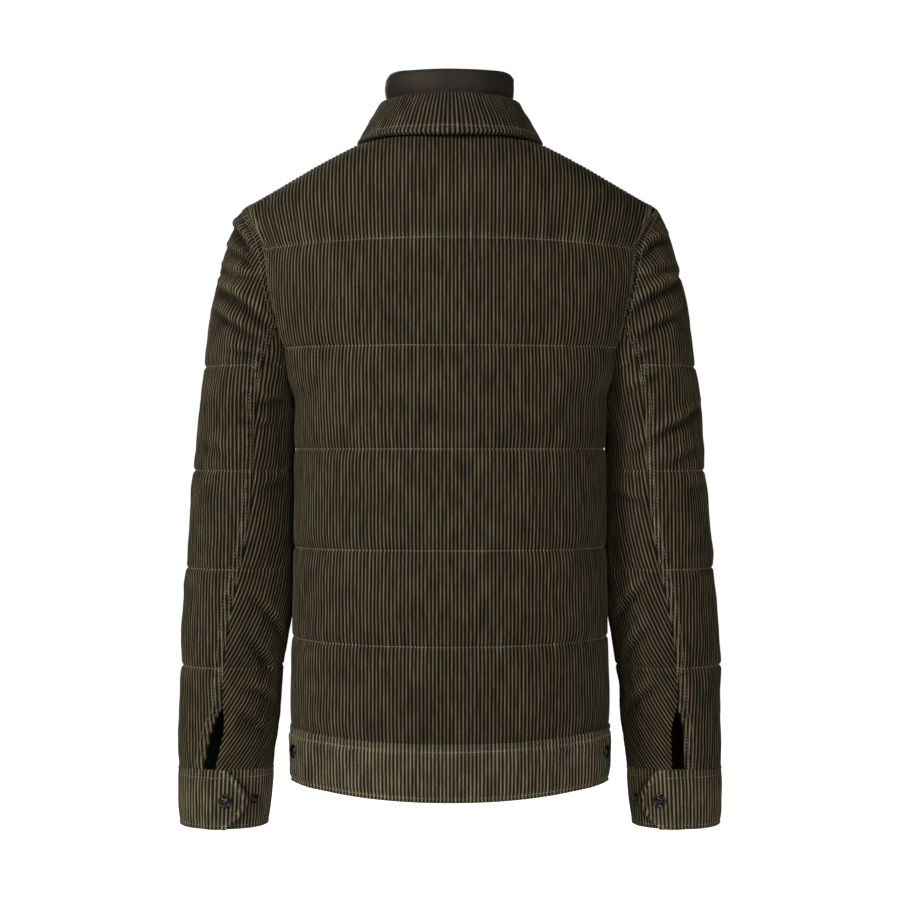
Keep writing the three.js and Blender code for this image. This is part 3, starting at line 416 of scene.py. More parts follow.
class Cloth:
    """Rows of dense points over a piece, and what the pile and padding do there."""

    def __init__(self, points, wale, lift, length, pile=1.0, tone=0.0):
        self.points = np.asarray(points, dtype=float)
        shape = self.points.shape[:2]
        self.wale = np.broadcast_to(np.asarray(wale, dtype=float), shape)
        self.lift = np.broadcast_to(np.asarray(lift, dtype=float), shape)
        self.length = np.broadcast_to(np.asarray(length, dtype=float), shape)
        self.pile = np.broadcast_to(np.asarray(pile, dtype=float), shape)
        self.tone = np.broadcast_to(np.asarray(tone, dtype=float), shape)
        if self.wale[0, -1] < self.wale[0, 0]:
            self.points, self.wale = self.points[:, ::-1], self.wale[:, ::-1]
            self.lift, self.length = self.lift[:, ::-1], self.length[:, ::-1]
            self.pile, self.tone = self.pile[:, ::-1], self.tone[:, ::-1]
        across = np.gradient(self.points, axis=1)
        down = np.gradient(self.points, axis=0)
        normal = np.cross(across, down)
        size = np.linalg.norm(normal, axis=-1, keepdims=True)
        normal = normal / np.maximum(size, 1e-9)
        self.normal = normal

    def face_out(self, outward):
        """Turns the normals to the side that outward(points) points to."""
        side = np.sign((self.normal * outward(self.points)).sum(axis=-1).mean())
        self.normal = self.normal * side
        return self

    def mirrored(self):
        flip = np.array([-1.0, 1.0, 1.0])
        self.points, self.normal = self.points * flip, self.normal * flip
        return self

    def sample(self, row, wale):
        """Points, normals, lift, length and pile of one row at places across the wales."""
        at = lambda values: np.interp(wale, self.wale[row], values)
        fields = [np.stack([at(values[row, :, k]) for k in range(3)], axis=-1)
                  for values in (self.points, self.normal)]
        fields[1] /= np.maximum(np.linalg.norm(fields[1], axis=-1, keepdims=True), 1e-9)
        return (*fields, at(self.lift[row]), at(self.length[row]), at(self.pile[row]))

    def area(self):
        a = np.diff(self.points[:-1], axis=1)
        b = np.diff(self.points[:, :-1], axis=0)
        return float(np.linalg.norm(np.cross(a, b), axis=-1).sum()) * MM * MM


def outward_from(x, y):
    """A direction test: away from an upright line through x and y."""
    def outward(points):
        away = points - np.array([x, y, 0.0])
        away[..., 2] = 0.0
        return away
    return outward


def wale_profile(wale):
    return np.abs(np.sin(math.pi * wale / WALE)) ** 0.7


def set_points(verts, points, floats, values):
    for vert, point in zip(verts, points * MM):
        vert.co = point
    for name, layer in floats.items():
        for vert, value in zip(verts, values[name]):
            vert[layer] = value


def chain_edges(bm, verts):
    return [bm.edges.get(pair) for pair in zip(verts, verts[1:]) if pair[0] is not pair[1]]


def cloth_piece(name, cloth, step=WALE / STEPS_TO_A_WALE, wall=WALL, ridged=True, thins=()):
    """A closed shell of cloth: its ridged face, a plain lining behind it and a rim between.
    Columns of the face follow the wales and end on the piece's edges."""
    bm = bmesh.new()
    floats = {key: bm.verts.layers.float.new(key) for key in ("wale", "along", "tone")}
    rows = cloth.wale.shape[0]
    first = math.floor(cloth.wale[:, 0].min() / step) - 1
    last = math.ceil(cloth.wale[:, -1].max() / step) + 1
    columns = last - first + 1
    wale_places = np.arange(first, last + 1) * step
    made = bmesh.ops.create_grid(bm, x_segments=columns - 1, y_segments=rows - 1, size=1)["verts"]
    face = [made[row * columns:(row + 1) * columns] for row in range(rows)]
    welds, ends = {}, []
    for row in range(rows):
        low, high = cloth.wale[row, 0], cloth.wale[row, -1]
        near = 0.3 * step
        left = int(np.searchsorted(wale_places, low + near)) - 1
        right = int(np.searchsorted(wale_places, high - near, side="right"))
        places = np.clip(wale_places, low, high)
        places[:left + 1], places[right:] = low, high
        points, normals, lift, length, pile = cloth.sample(row, places)
        ridge = wale_profile(places) * WALE_HEIGHT if ridged else 0.0
        uneven = 1 + 0.16 * ripple(places / 9.0, length / 60.0, 5)
        points = points + normals * (lift + ridge * pile * uneven)[:, None]
        tone = np.interp(places, cloth.wale[row], cloth.tone[row])
        set_points(face[row], points, floats, {"wale": places / WALE, "along": length, "tone": tone})
        for column in range(left):
            welds[face[row][column]] = face[row][left]
        for column in range(right + 1, columns):
            welds[face[row][column]] = face[row][right]
        ends.append((left, right))
    bmesh.ops.weld_verts(bm, targetmap=welds)

    lining_rows = np.unique(np.round(np.linspace(0, rows - 1, max(3, rows // 3))).astype(int))
    width = float(np.mean(cloth.wale[:, -1] - cloth.wale[:, 0]))
    lining_columns = max(5, int(width / 7))
    made = bmesh.ops.create_grid(
        bm, x_segments=lining_columns - 1, y_segments=len(lining_rows) - 1, size=1)["verts"]
    lining = [made[k * lining_columns:(k + 1) * lining_columns] for k in range(len(lining_rows))]
    for verts, row in zip(lining, lining_rows):
        places = np.linspace(cloth.wale[row, 0], cloth.wale[row, -1], lining_columns)
        points, normals, lift, length, _ = cloth.sample(row, places)
        inset = np.minimum(lift, 0) - wall
        points = points + normals * inset[:, None]
        set_points(verts, points, floats, {"wale": places / WALE, "along": length,
                                           "tone": np.zeros(lining_columns)})
    lining_faces = {found for verts in lining for vert in verts for found in vert.link_faces}

    top, foot = (face[row][ends[row][0]:ends[row][1] + 1] for row in (rows - 1, 0))
    pairs = [
        (foot, lining[0]), (top, lining[-1]),
        ([face[row][ends[row][0]] for row in range(rows)], [verts[0] for verts in lining]),
        ([face[row][ends[row][1]] for row in range(rows)], [verts[-1] for verts in lining]),
    ]
    for outer, inner in pairs:
        outer_edges, inner_edges = chain_edges(bm, outer), chain_edges(bm, inner)
        bmesh.ops.bridge_loops(bm, edges=outer_edges + inner_edges)
        for edge in outer_edges + inner_edges:
            edge.smooth = False
    bmesh.ops.recalc_face_normals(bm, faces=bm.faces[:])
    for found in bm.faces:
        found.smooth = True
        found.material_index = 1 if found in lining_faces else 0
    return finished(name, bm)


def finished(name, bm):
    mesh = bpy.data.meshes.new(name)
    bm.to_mesh(mesh)
    bm.free()
    piece = bpy.data.objects.new(name, mesh)
    bpy.context.scene.collection.objects.link(piece)
    return piece


def eased(points, across, rises):
    """Evens a body panel out below the armhole, where its edge turns in, but not its very edge."""
    heights = np.array(rises) * np.where(np.array(rises) > 0, YOKE_HEIGHT, 1.0)
    weight = np.exp(-(((heights[:, None] - heights) / EASE) ** 2)) * np.gradient(heights)
    even = np.einsum("kl,lnc->knc", weight / weight.sum(axis=1, keepdims=True), points)
    underarm = UNDERARM_Z - BODY_LINES[0]
    near = smooth(heights, underarm - 45, underarm - 15) * (1 - smooth(heights, underarm + 35, underarm + 60))
    share = near[:, None, None] * (1 - np.abs(across) ** 24)[None, :, None]
    return mix(points, even, share)


def body_cloth(back, from_share, to_share, samples):
    """One body panel between two shares of the way across to the side seam."""
    across = np.linspace(from_share, to_share, samples)
    rises = body_rises()
    points = eased(np.array([body_row(across, rise, back) for rise in rises]), across, rises)
    full = np.linspace(-1, 1, 601)
    yoke = body_row(full, 0.0, back)
    yoke_x = yoke[:, 0]
    yoke_wale = arc_length(yoke)
    yoke_wale -= np.interp(0.0, yoke_x, yoke_wale)
    wale = np.empty(points.shape[:2])
    length = np.empty(points.shape[:2])
    for k, rise in enumerate(rises):
        if rise <= 0:
            row = body_row(full, rise, back)
            around = arc_length(row)
            around -= np.interp(0.0, full, around)
            wale[k] = np.interp(across, full, around)
            length[k] = BODY_LINES[0] + rise
        else:
            up = sind(90 * rise) ** (2 / SECTION_POWER)
            fanned = yoke_x * (1 + YOKE_FAN * up * (yoke_x / 190) ** 2)
            wale[k] = np.interp(points[k, :, 0], fanned, yoke_wale)
            length[k] = BODY_LINES[0] + rise * YOKE_HEIGHT
    wale = eased(wale[:, :, None], across, rises)[:, :, 0]
    share = np.abs(across)[None, :]
    side = 1 - 0.75 * share ** 5
    plain = 1.0 if back else smooth(np.abs(points[:, :, 0]), 30, 52)
    line = groove(length, BODY_LINES)
    puff = PUFF * stitched(length, BODY_LINES + [WAIST_SEAM_Z])
    seed = 11 if back else 17
    soft = 0.8 * ripple(wale / 95, length / 70, seed) + 0.35 * ripple(wale / 26, length / 90, seed + 1)
    pucker = 0.5 * ripple(wale / 17, length / 200, seed + 2) * np.exp(
        -np.min([np.abs(length - at) for at in BODY_LINES], axis=0) / 9)
    from_side = (1 - share) * (200 if back else 60)
    seam_depth = SIDE_SEAM_DEPTH * np.exp(-((from_side / 3.0) ** 2))
    near_top = smooth(length - BODY_LINES[0], 0.55 * YOKE_HEIGHT, YOKE_HEIGHT)
    at_armhole = smooth(length, -262, -235) * (1 - near_top)
    seam_depth = seam_depth - ARMHOLE_ROLL * at_armhole * np.exp(-(((from_side - 4.0) / 3.0) ** 2))
    flat = 1 - smooth(length - BODY_LINES[0], *SHOULDER_FLAT)
    lift = (puff * side + soft * (1 - share ** 8)) * plain * flat + pucker * plain - STITCH_DEPTH * line
    lift = lift - SHOULDER_SINK * (1 - flat) * np.sin(math.pi * np.clip(
        (share - NECK_SHARE) / (1 - NECK_SHARE), 0, 1))
    lift = lift - seam_depth
    end = np.minimum(1, np.arange(len(rises)) / 3.0)[:, None]
    foot = np.minimum(1, (length - WAIST_SEAM_Z) / 5.0)
    lift = lift * np.clip(0.15 + foot, 0, 1) * end ** 0.3
    pile = (1 - 0.55 * line) * (1 - 0.75 * near_top)
    # Tone: paler along the quilting lines, and a painted highlight on the rolled edge at the armhole
    tone = SEAM_TONE * (0.7 * line + at_armhole * np.exp(-(((from_side - 3.0) / 3.5) ** 2)))
    return Cloth(points, wale, lift, length, pile, tone).face_out(outward_from(0, 0))


def sleeve_lift(turn, z, side, wale, seed):
    inside = np.maximum(0, -cosd(turn))
    puff = SLEEVE_PUFF * stitched(z, SLEEVE_LINES + [CUFF_SEAM_Z]) * (1 - 0.8 * inside ** 2)
    puff = puff + INSIDE_FILL * inside ** 4 * smooth(-z, 230, 280) * (1 - smooth(-z, 445, 530))
    soft = 0.9 * ripple(wale / 70, z / 85, seed) + 0.45 * ripple(wale / 24, z / 40, seed + 1)
    line = groove(z, SLEEVE_LINES)
    pucker = 0.6 * ripple(wale / 15, z / 200, seed + 2) * np.exp(
        -np.min([np.abs(z - at) for at in SLEEVE_LINES], axis=0) / 9)
    folded = folds(turn, z, side)
    # Tone: painted shade in the fold troughs, painted highlight on the fold ridges, and paler quilting lines
    tone = np.clip(FOLD_SHADE_AND_HIGHLIGHT * folded, -0.6, 0.8) + 0.7 * SEAM_TONE * line
    return puff + soft + pucker + folded - STITCH_DEPTH * line, 1 - 0.5 * line, tone


def to_the_seam(points, left, right, reach=12.0):
    """Draws a row's ends to two exact places, and the cloth near them along."""
    around = arc_length(points)
    from_left = np.exp(-((around / reach) ** 2))[:, None]
    from_right = np.exp(-(((around[-1] - around) / reach) ** 2))[:, None]
    return points + (left - points[0]) * from_left + (right - points[-1]) * from_right


def upper_sleeve_cloth(side, samples=321):
    """The outer piece of a sleeve, drawn on the left side."""
    share = np.linspace(0, 1, samples)
    seed = 31 if side == "left" else 57
    rows = []
    cap = armhole(np.linspace(-CAP_TURN, CAP_TURN, samples) % 360) + np.array([-CAP_TUCK, 0.0, CAP_RISE])
    rows.append((cap, np.linspace(-30, 30, samples), cap[:, 2], 0.1))
    for station in [14, 17, 20, 23, 26] + list(np.arange(28, SLEEVE_SEAM_STATION + 1, 1.56)):
        z = float(armhole(station)[2])
        front, rear = float(sleeve_turn(360 - station)), float(sleeve_turn(station))
        turn = mix(front, rear, share)
        points = to_the_seam(sleeve_surface(turn, z), armhole(360 - station), armhole(station))
        rows.append((points, turn, np.full(samples, z), 1.0))
    top = float(armhole(SLEEVE_SEAM_STATION)[2])
    heights = list(np.arange(top - 2.6, -340, -2.8)) + list(np.arange(-340, CUFF_SEAM_Z, -4.5))
    heights += around_lines(SLEEVE_LINES)
    heights += [CUFF_SEAM_Z, CUFF_SEAM_Z + 1.2, CUFF_SEAM_Z + 3]
    heights = [-z for z in spaced([-z for z in heights if CUFF_SEAM_Z <= z < top - 2], 0.7)]
    for z in heights:
        rear = seam_turn(z, side, True) - vent_opening(z) - 0.1
        front = -seam_turn(z, side, False) + 0.1
        turn = mix(front, rear, share)
        rows.append((sleeve_surface(turn, z), turn, np.full(samples, z), 1.0))
    points = np.array([row[0] for row in rows])
    turn = np.array([row[1] for row in rows])
    z = np.array([row[2] for row in rows])
    wale = np.empty(z.shape)
    for k in range(len(rows)):
        around = arc_length(points[k])
        wale[k] = around - np.interp(0.0, turn[k], around)
    lift, pile, tone = sleeve_lift(turn, z, side, wale, seed)
    scale = np.array([row[3] for row in rows])[:, None]
    in_cap = z > top
    from_end = np.minimum(wale - wale[:, :1], wale[:, -1:] - wale)
    held = np.where(in_cap, smooth(from_end, 0, 13), 0.25 + 0.75 * smooth(from_end, 0, 9))
    held = np.where(in_cap, held, mix(held, smooth(from_end, 0, 12), smooth(z, top - 30, top)))
    seam = np.where(in_cap, 0.7, 1.0) * np.exp(-((from_end / 2.6) ** 2))
    rope = np.exp(-(((from_end - 5) / 4) ** 2)) * np.where(in_cap, 0.3, 1.0)
    uneven = 0.7 * ripple(from_end / 30, z / 9, seed + 5)
    lift = lift + ROPE * rope * (0.5 + uneven)
    # Painted highlight on the raised roll beside the sleeve's back seam
    tone = tone + SEAM_TONE * rope * (0.6 + uneven)
    shaded = smooth(-z, 80, 120) * (1 - smooth(-z, 220, 300)) * np.exp(-(((wale[:, -1:] - wale) / 16) ** 2))
    tone = tone - SEAM_SHADE[side] * shaded
    start = smooth(np.arange(len(rows)), 0, 5)[:, None]
    foot = np.clip(0.15 + (z - CUFF_SEAM_Z) / 5, 0, 1)
    lift = lift * held * scale * start * foot - seam
    length = z
    return Cloth(points[::-1], wale[::-1], lift[::-1], length[::-1], pile[::-1], tone[::-1]).face_out(
        outward_from(212, -12))


def under_sleeve_cloth(side, samples=241):
    """The inner piece of a sleeve, whose wales slant, drawn on the left side."""
    share = np.linspace(0, 1, samples)
    seed = 41 if side == "left" else 67
    stations = mix(SLEEVE_SEAM_STATION, 360 - SLEEVE_SEAM_STATION, share)
    start_turn = sleeve_turn(stations) % 360
    start_z = armhole(stations)[:, 2]
    level_z = -270.0
    rows = []
    for t in np.linspace(0, 1, 24)[:-1] ** 1.15:
        rows.append((mix(start_z, level_z, t), t))
    heights = list(np.arange(level_z, CUFF_SEAM_Z, -5.0)) + around_lines(SLEEVE_LINES[2:])
    heights += [CUFF_SEAM_Z, CUFF_SEAM_Z + 1.2, CUFF_SEAM_Z + 3]
    heights = [-z for z in spaced([-z for z in heights if CUFF_SEAM_Z <= z <= level_z], 0.7)]
    rows += [(np.full(samples, z), 1.0) for z in heights]
    points, turns, levels = [], [], []
    for z, t in rows:
        rear = seam_turn(z[0], side, True) + vent_opening(z[0]) + 0.1
        front = 360 - seam_turn(z[-1], side, False) - 0.1
        turn = mix(start_turn, mix(rear, front, share), float(smooth(t, 0, 1)))
        turn = turn + (rear - turn[0]) * (1 - share) ** 4 + (front - turn[-1]) * share ** 4
        row = sleeve_surface(turn, z)
        to_arm = np.exp(-(((start_z - z) / 10) ** 2))[:, None]
        row = row + (armhole(stations) - row) * to_arm if t == 0 else row + (
            armhole(stations) - sleeve_surface(start_turn, start_z)) * to_arm
        points.append(row)
        turns.append(turn)
        levels.append(z)
    points, turn, z = np.array(points), np.array(turns), np.array(levels)
    around = np.array([arc_length(row * np.array([1, 1, 0.0])) for row in points])
    inner = np.array([np.interp(180.0, turn[k], around[k]) for k in range(len(rows))])[:, None]
    sideways = inner - around
    up = z - CUFF_SEAM_Z
    slanted = UNDER_SLANT_LOW * up + (UNDER_SLANT_HIGH - UNDER_SLANT_LOW) * up ** 2 / 2 / UNDER_SLANT_RUN
    wale = UNDER_WALE_SHARE * (sideways + slanted)
    lift, pile, tone = sleeve_lift(turn, z, side, around, seed)
    from_end = np.minimum(around, around[:, -1:] - around)
    held = 0.25 + 0.75 * smooth(from_end, 0, 9)
    near_arm = smooth(start_z[None, :] - z, 0, 22)
    foot = np.clip(0.15 + (z - CUFF_SEAM_Z) / 5, 0, 1)
    lift = lift * held * near_arm * foot - 1.0 * np.exp(-((from_end / 2.6) ** 2))
    return Cloth(points[::-1], wale[::-1], lift[::-1], z[::-1], pile[::-1], tone[::-1]).face_out(
        outward_from(212, -12))


# Cuffs and waistband

CUFF_TAB_TURN, CUFF_UNDERLAP_TURN = 124.0, -277.0
CUFF_PROUD, CUFF_LAP = 1.2, 3.7
CUFF_TWIST = {"left": 0.0, "right": 18.0}
CUFF_SNAP_TURN, CUFF_SPARE_TURN, CUFF_SNAP_Z = 95.0, 134.0, -667.0
TAB_ROLL = 1.6
TAB_SHADE_TURN = 9.0
CUFF_TAB = Curves("down cut", (0, 28), (0.28, 10), (0.5, 0.6), (0.56, 0.6), (0.76, 9), (1, 27))
EDGE_ROUND = 2.2


def ring_normal(turn, z):
    across = ring(turn + 0.5, z) - ring(turn - 0.5, z)
    up = ring(turn, z + 0.5) - ring(turn, z - 0.5)
    normal = np.cross(up, across)
    normal /= np.linalg.norm(normal, axis=-1, keepdims=True)
    outward = (normal * (ring(turn, z) - ring(turn + 180, z))).sum(axis=-1, keepdims=True)
    return normal * np.sign(outward)


def cuff_lift(turn):
    return CUFF_PROUD + CUFF_LAP * smooth(turn, 60, 80)


def rounded_edge(distance, radius=EDGE_ROUND):
    """How far a face falls back near a turned edge."""
    short = np.clip(1 - distance / radius, 0, 1)
    return radius * (1 - np.sqrt(1 - short ** 2 * 0.98))


def edged(count, size, fine=(0.0, 0.35, 0.9, 1.8, 3.0, 4.5)):
    """Places from 0 to 1 over a size in millimetres, closer together at both ends."""
    inner = np.linspace(fine[-1], size - fine[-1], count)
    places = list(fine[:-1]) + list(inner) + [size - at for at in fine[-2::-1]]
    return np.array(places) / size


def cuff_cloth(side, samples=721):
    """A cuff from its pointed tab round to the end under it, drawn on the left side."""
    twist = CUFF_TWIST[side]
    height = CUFF_SEAM_Z - CUFF_BOTTOM_Z
    rows = edged(16, height)
    points, wales, lifts, lengths, piles, tones = [], [], [], [], [], []
    base = np.linspace(0, 1, samples)
    for down in rows:
        z = mix(CUFF_SEAM_Z + 0.3, CUFF_BOTTOM_Z, down)
        cut = float(CUFF_TAB.at("cut", down))
        turn = mix(CUFF_TAB_TURN - cut, CUFF_UNDERLAP_TURN, base ** 1.05)
        here = ring(turn + twist, z) + ring_normal(turn + twist, z) * cuff_lift(turn)[:, None]
        whole = np.linspace(CUFF_UNDERLAP_TURN, CUFF_TAB_TURN, 900)
        around = arc_length(ring(whole + twist, mix(CUFF_SEAM_Z, CUFF_BOTTOM_Z, 0.5)))
        wale = np.interp(turn, whole, around)
        from_tab = wale[0] - wale
        from_edge = np.minimum(down, 1 - down) * height
        seam = 1.0 * np.exp(-(((from_edge - 6.0) / 1.3) ** 2))
        tab_seam = 1.0 * np.exp(-(((from_tab - 6.0) / 1.3) ** 2))
        fall = np.maximum(rounded_edge(from_edge), rounded_edge(from_tab))
        fall = np.maximum(fall, rounded_edge(wale - wale[-1]))
        puff = 0.9 * np.sin(math.pi * np.clip(from_edge / (height / 2), 0, 1) / 2)
        soft = 0.35 * ripple(wale / 30, z / 40, 73)
        points.append(here)
        wales.append(wale)
        roll = TAB_ROLL * np.exp(-(((from_tab - 2.5) / 3.0) ** 2))
        lifts.append(puff + soft + roll - np.maximum(seam, tab_seam) - fall - 0.6)
        beyond = turn + 360 - (CUFF_TAB_TURN - cut)
        shaded = np.where(beyond > -2, np.exp(-((beyond / TAB_SHADE_TURN) ** 2)), 0.0)
        # Tone: paler along the stitch lines, a painted highlight on the tab's rolled edge, and painted shadow on
        # the underlap just past the tab's edge
        tones.append(SEAM_TONE * (0.6 * np.maximum(seam, tab_seam) + 0.6 * roll / TAB_ROLL) - 0.6 * shaded)
        lengths.append(np.full(samples, z))
        piles.append(np.clip(1 - np.maximum(seam, tab_seam) * 0.5, 0.3, 1))
    cloth = Cloth(points[::-1], wales[::-1], lifts[::-1], lengths[::-1], piles[::-1], tones[::-1])
    return cloth.face_out(outward_from(235, -24))


BAND_PROUD, BAND_LAP = 0.8, 4.7
BAND_END_TURN, BAND_UNDER_TURN = 17.0, 31.0
BAND_SNAP_TURN, BAND_SNAP_DOWN = 23.0, 0.42
FRONT_OVERLAP = 2.0


def band_surface(turn, down, lift):
    level = mix(WAIST_SEAM_Z - 0.3, HEM_Z, down)
    side_x = BODY.at("side", level)
    depth = np.where(sind(turn) > 0, BODY.at("back", level), -BODY.at("front", level))
    power = 2 / SECTION_POWER
    x = (side_x + lift) * signed_power(cosd(turn), power)
    y = ARM_MID_Y + (depth - np.sign(sind(turn)) * ARM_MID_Y + lift) * signed_power(sind(turn), power)
    z = mix(level, edge_height(level), (x / side_x) ** 2)
    return np.stack(np.broadcast_arrays(x, y, z), axis=-1)


def band_back_lift(turn):
    return BAND_PROUD + BAND_LAP * (1 - smooth(np.minimum(turn, 180 - turn), 33, 46))


def band_cloth(from_turn, to_turn, lift_at, samples, loose_ends):
    """A stretch of the waistband. A loose end lies over the next stretch."""
    height = WAIST_SEAM_Z - HEM_Z
    rows = edged(15, height)
    turn = np.linspace(from_turn, to_turn, samples)
    points, wales, lifts, lengths, piles, tones = [], [], [], [], [], []
    for down in rows:
        here = band_surface(turn, down, lift_at(turn))
        around = arc_length(band_surface(turn, 0.5, lift_at(turn)))
        wale = around - around[-1] / 2
        from_edge = min(down, 1 - down) * height
        top_seam = 0.9 * math.exp(-(((down * height - 7.5) / 1.4) ** 2))
        foot_seam = 0.9 * math.exp(-((((1 - down) * height - 5.0) / 1.4) ** 2))
        from_end = np.minimum(wale - wale[0], wale[-1] - wale)
        end_seam = 0.9 * np.exp(-(((from_end - 6.0) / 1.4) ** 2)) if loose_ends else 0.0
        fall = np.full(samples, rounded_edge(np.array(from_edge)))
        if loose_ends:
            fall = np.maximum(fall, rounded_edge(from_end))
        puff = 1.5 * math.sin(math.pi * min(1.0, from_edge / 14) / 2)
        soft = 0.6 * ripple(wale / 60, down, 83) + 0.3 * ripple(wale / 22, down * 2, 84)
        seam = np.maximum(max(top_seam, foot_seam), end_seam)
        points.append(here)
        wales.append(wale)
        lifts.append(puff + soft * min(1.0, from_edge / 6) - seam - fall)
        lengths.append(np.full(samples, mix(WAIST_SEAM_Z, HEM_Z, down)))
        piles.append(np.full(samples, 1.0) - seam * 0.5)
        tones.append(np.full(samples, SEAM_TONE * 0.7) * seam)
    cloth = Cloth(points[::-1], wales[::-1], lifts[::-1], lengths[::-1], piles[::-1], tones[::-1])
    return cloth.face_out(outward_from(0, 0))


# Collars

COLLAR = Curves(
    "row leaf offset height",
    (0, 1, 34, -3.6), (1, 0.75, 26.5, 9.5), (2, 0.5, 17.5, 22), (3, 0.25, 7.5, 33),
    (4, 0.05, 0.5, 39.6), (5, 0, -3.5, 41), (6, 0, -7.4, 39.4), (7, 0, -8.6, 34),
    (8, 0, -7.2, 16), (9, 0, -4.3, 1.8))
COLLAR_END_TURN, COLLAR_SPREAD = 6.0, 0.16
COLLAR_WALE_RADIUS = 80.0
EDGE_ROLL = 2.0
COLLAR_SINK = 3.2
STAND = Curves(
    "height offset", (2, -5.2), (16, -8.6), (34, -9.4), (43, -8), (50, -5.6), (58, -4.6),
    (64, -5.6), (66.8, -7.4))
STAND_END_TURN, STAND_WALL = 1.5, 2.6
STAND_SIDE_RISE = 5.5


def neck(turn, offset, height):
    end_y, end_z = np.where(sind(turn) > 0, NECK_BACK[0], NECK_FRONT[0]), np.where(
        sind(turn) > 0, NECK_BACK[1], NECK_FRONT[1])
    depth = np.abs(end_y - NECK_SIDE[0])
    x = (NECK_HALF_WIDTH + offset) * cosd(turn)
    y = NECK_SIDE[0] + (depth + offset) * sind(turn)
    z = mix(NECK_SIDE[1], end_z, sind(turn) ** 2) + height
    return np.stack(np.broadcast_arrays(x, y, z), axis=-1)


def collar_cloth(samples=481):
    """The turned-down collar: its leaf, the fold, and the part that stands inside."""
    t = np.linspace(-1, 1, samples)
    rows = [0, 0.03, 0.09, 0.18, 0.3, 0.42, 0.55, 0.66, 0.78] + list(np.arange(0.9, 9, 0.22)) + [9]
    points, lifts, lengths, piles, tones = [], [], [], [], []
    from_back = np.abs(t) * (180 - COLLAR_END_TURN)
    wale = np.sign(t) * np.radians(from_back) * COLLAR_WALE_RADIUS
    for row in rows:
        leaf, offset, height = (float(COLLAR.at(name, row)) for name in ("leaf", "offset", "height"))
        turn = 90 + np.sign(t) * from_back * (1 - COLLAR_SPREAD * leaf * (from_back / 180) ** 2)
        sideways, front = np.abs(cosd(turn)), smooth(-sind(turn), 0, 1)
        corner = sind(2 * turn) ** 2 * np.where(front > 0, 15.0, 2.5)
        away = offset + leaf * (-9.5 * sideways + 7 * front)
        high = height + leaf * (2.5 * sideways + 1 * front + corner)
        points.append(neck(turn, away, high))
        down = (1 - leaf) * 57 if row <= 5 else 57 + (row - 5) * 10
        from_end = np.minimum(wale - wale[0], wale[-1] - wale)
        seam = 0.9 * np.exp(-(((down - 7.0) / 1.5) ** 2)) + 0.0 * wale
        seam = np.maximum(seam, 0.9 * np.exp(-(((from_end - 7.0) / 1.5) ** 2)) * (row < 4.5))
        fall = np.maximum(rounded_edge(np.full(samples, down)), rounded_edge(from_end))
        puff = 0.7 * math.sin(math.pi * min(1.0, down / 14) / 2) * (row < 5)
        soft = 0.5 * ripple(wale / 45, down / 40, 91) * min(1.0, down / 8) * (row < 4)
        edge = EDGE_ROLL * math.exp(-((down / 10.0) ** 2)) * (row < 5)
        lifts.append(puff + soft + edge - seam - fall - COLLAR_SINK * sideways * min(1.0, leaf * 3))
        lengths.append(np.full(samples, -down))
        piles.append(np.full(samples, 0.85) - 0.4 * seam)
        # Tone: paler along the stitch line, and a painted highlight on the rolled lower edge
        tones.append(SEAM_TONE * (seam + 0.5 * edge / EDGE_ROLL))
    wale = np.broadcast_to(wale, (len(rows), samples))
    cloth = Cloth(points, wale, lifts, lengths, piles, tones)
    leaf_middle = cloth.normal[4, samples // 2]
    if leaf_middle[1] < 0:
        cloth.normal = -cloth.normal
    return cloth


def stand_cloth(samples=181):
    """The smooth stand collar inside."""
    turn = np.linspace(-90 + STAND_END_TURN, 270 - STAND_END_TURN, samples)
    heights = list(np.arange(2, 60, 2.4)) + [60.5, 62, 63.4, 64.6, 65.6, 66.3, 66.8]
    points, lifts = [], []
    for height in heights:
        to_front = smooth(-sind(turn), -0.75, 0.9)
        free = max(0.0, height - 41)
        at_side = STAND_SIDE_RISE * np.abs(cosd(turn)) ** 3 * min(1.0, free / 20)
        points.append(neck(turn, STAND.at("offset", height), height - free * 0.5 * to_front + at_side))
        soft = 0.7 * ripple(turn / 38, height / 45, 97) + 0.3 * ripple(turn / 14, height / 30, 98)
        seam = 0.5 * math.exp(-(((height - 60) / 1.0) ** 2))
        lifts.append(soft * min(1.0, (66.8 - height) / 6 + 0.2) - seam)
    wale = np.broadcast_to(np.radians(turn - 90) * 64, (len(heights), samples))
    length = np.array(heights)[:, None]
    return Cloth(points, wale, lifts, length, 0.0).face_out(outward_from(0, -8))


# Finishes

def socket(group, name, kind, direction):
    group.interface.new_socket(name=name, in_out=direction, socket_type=kind)


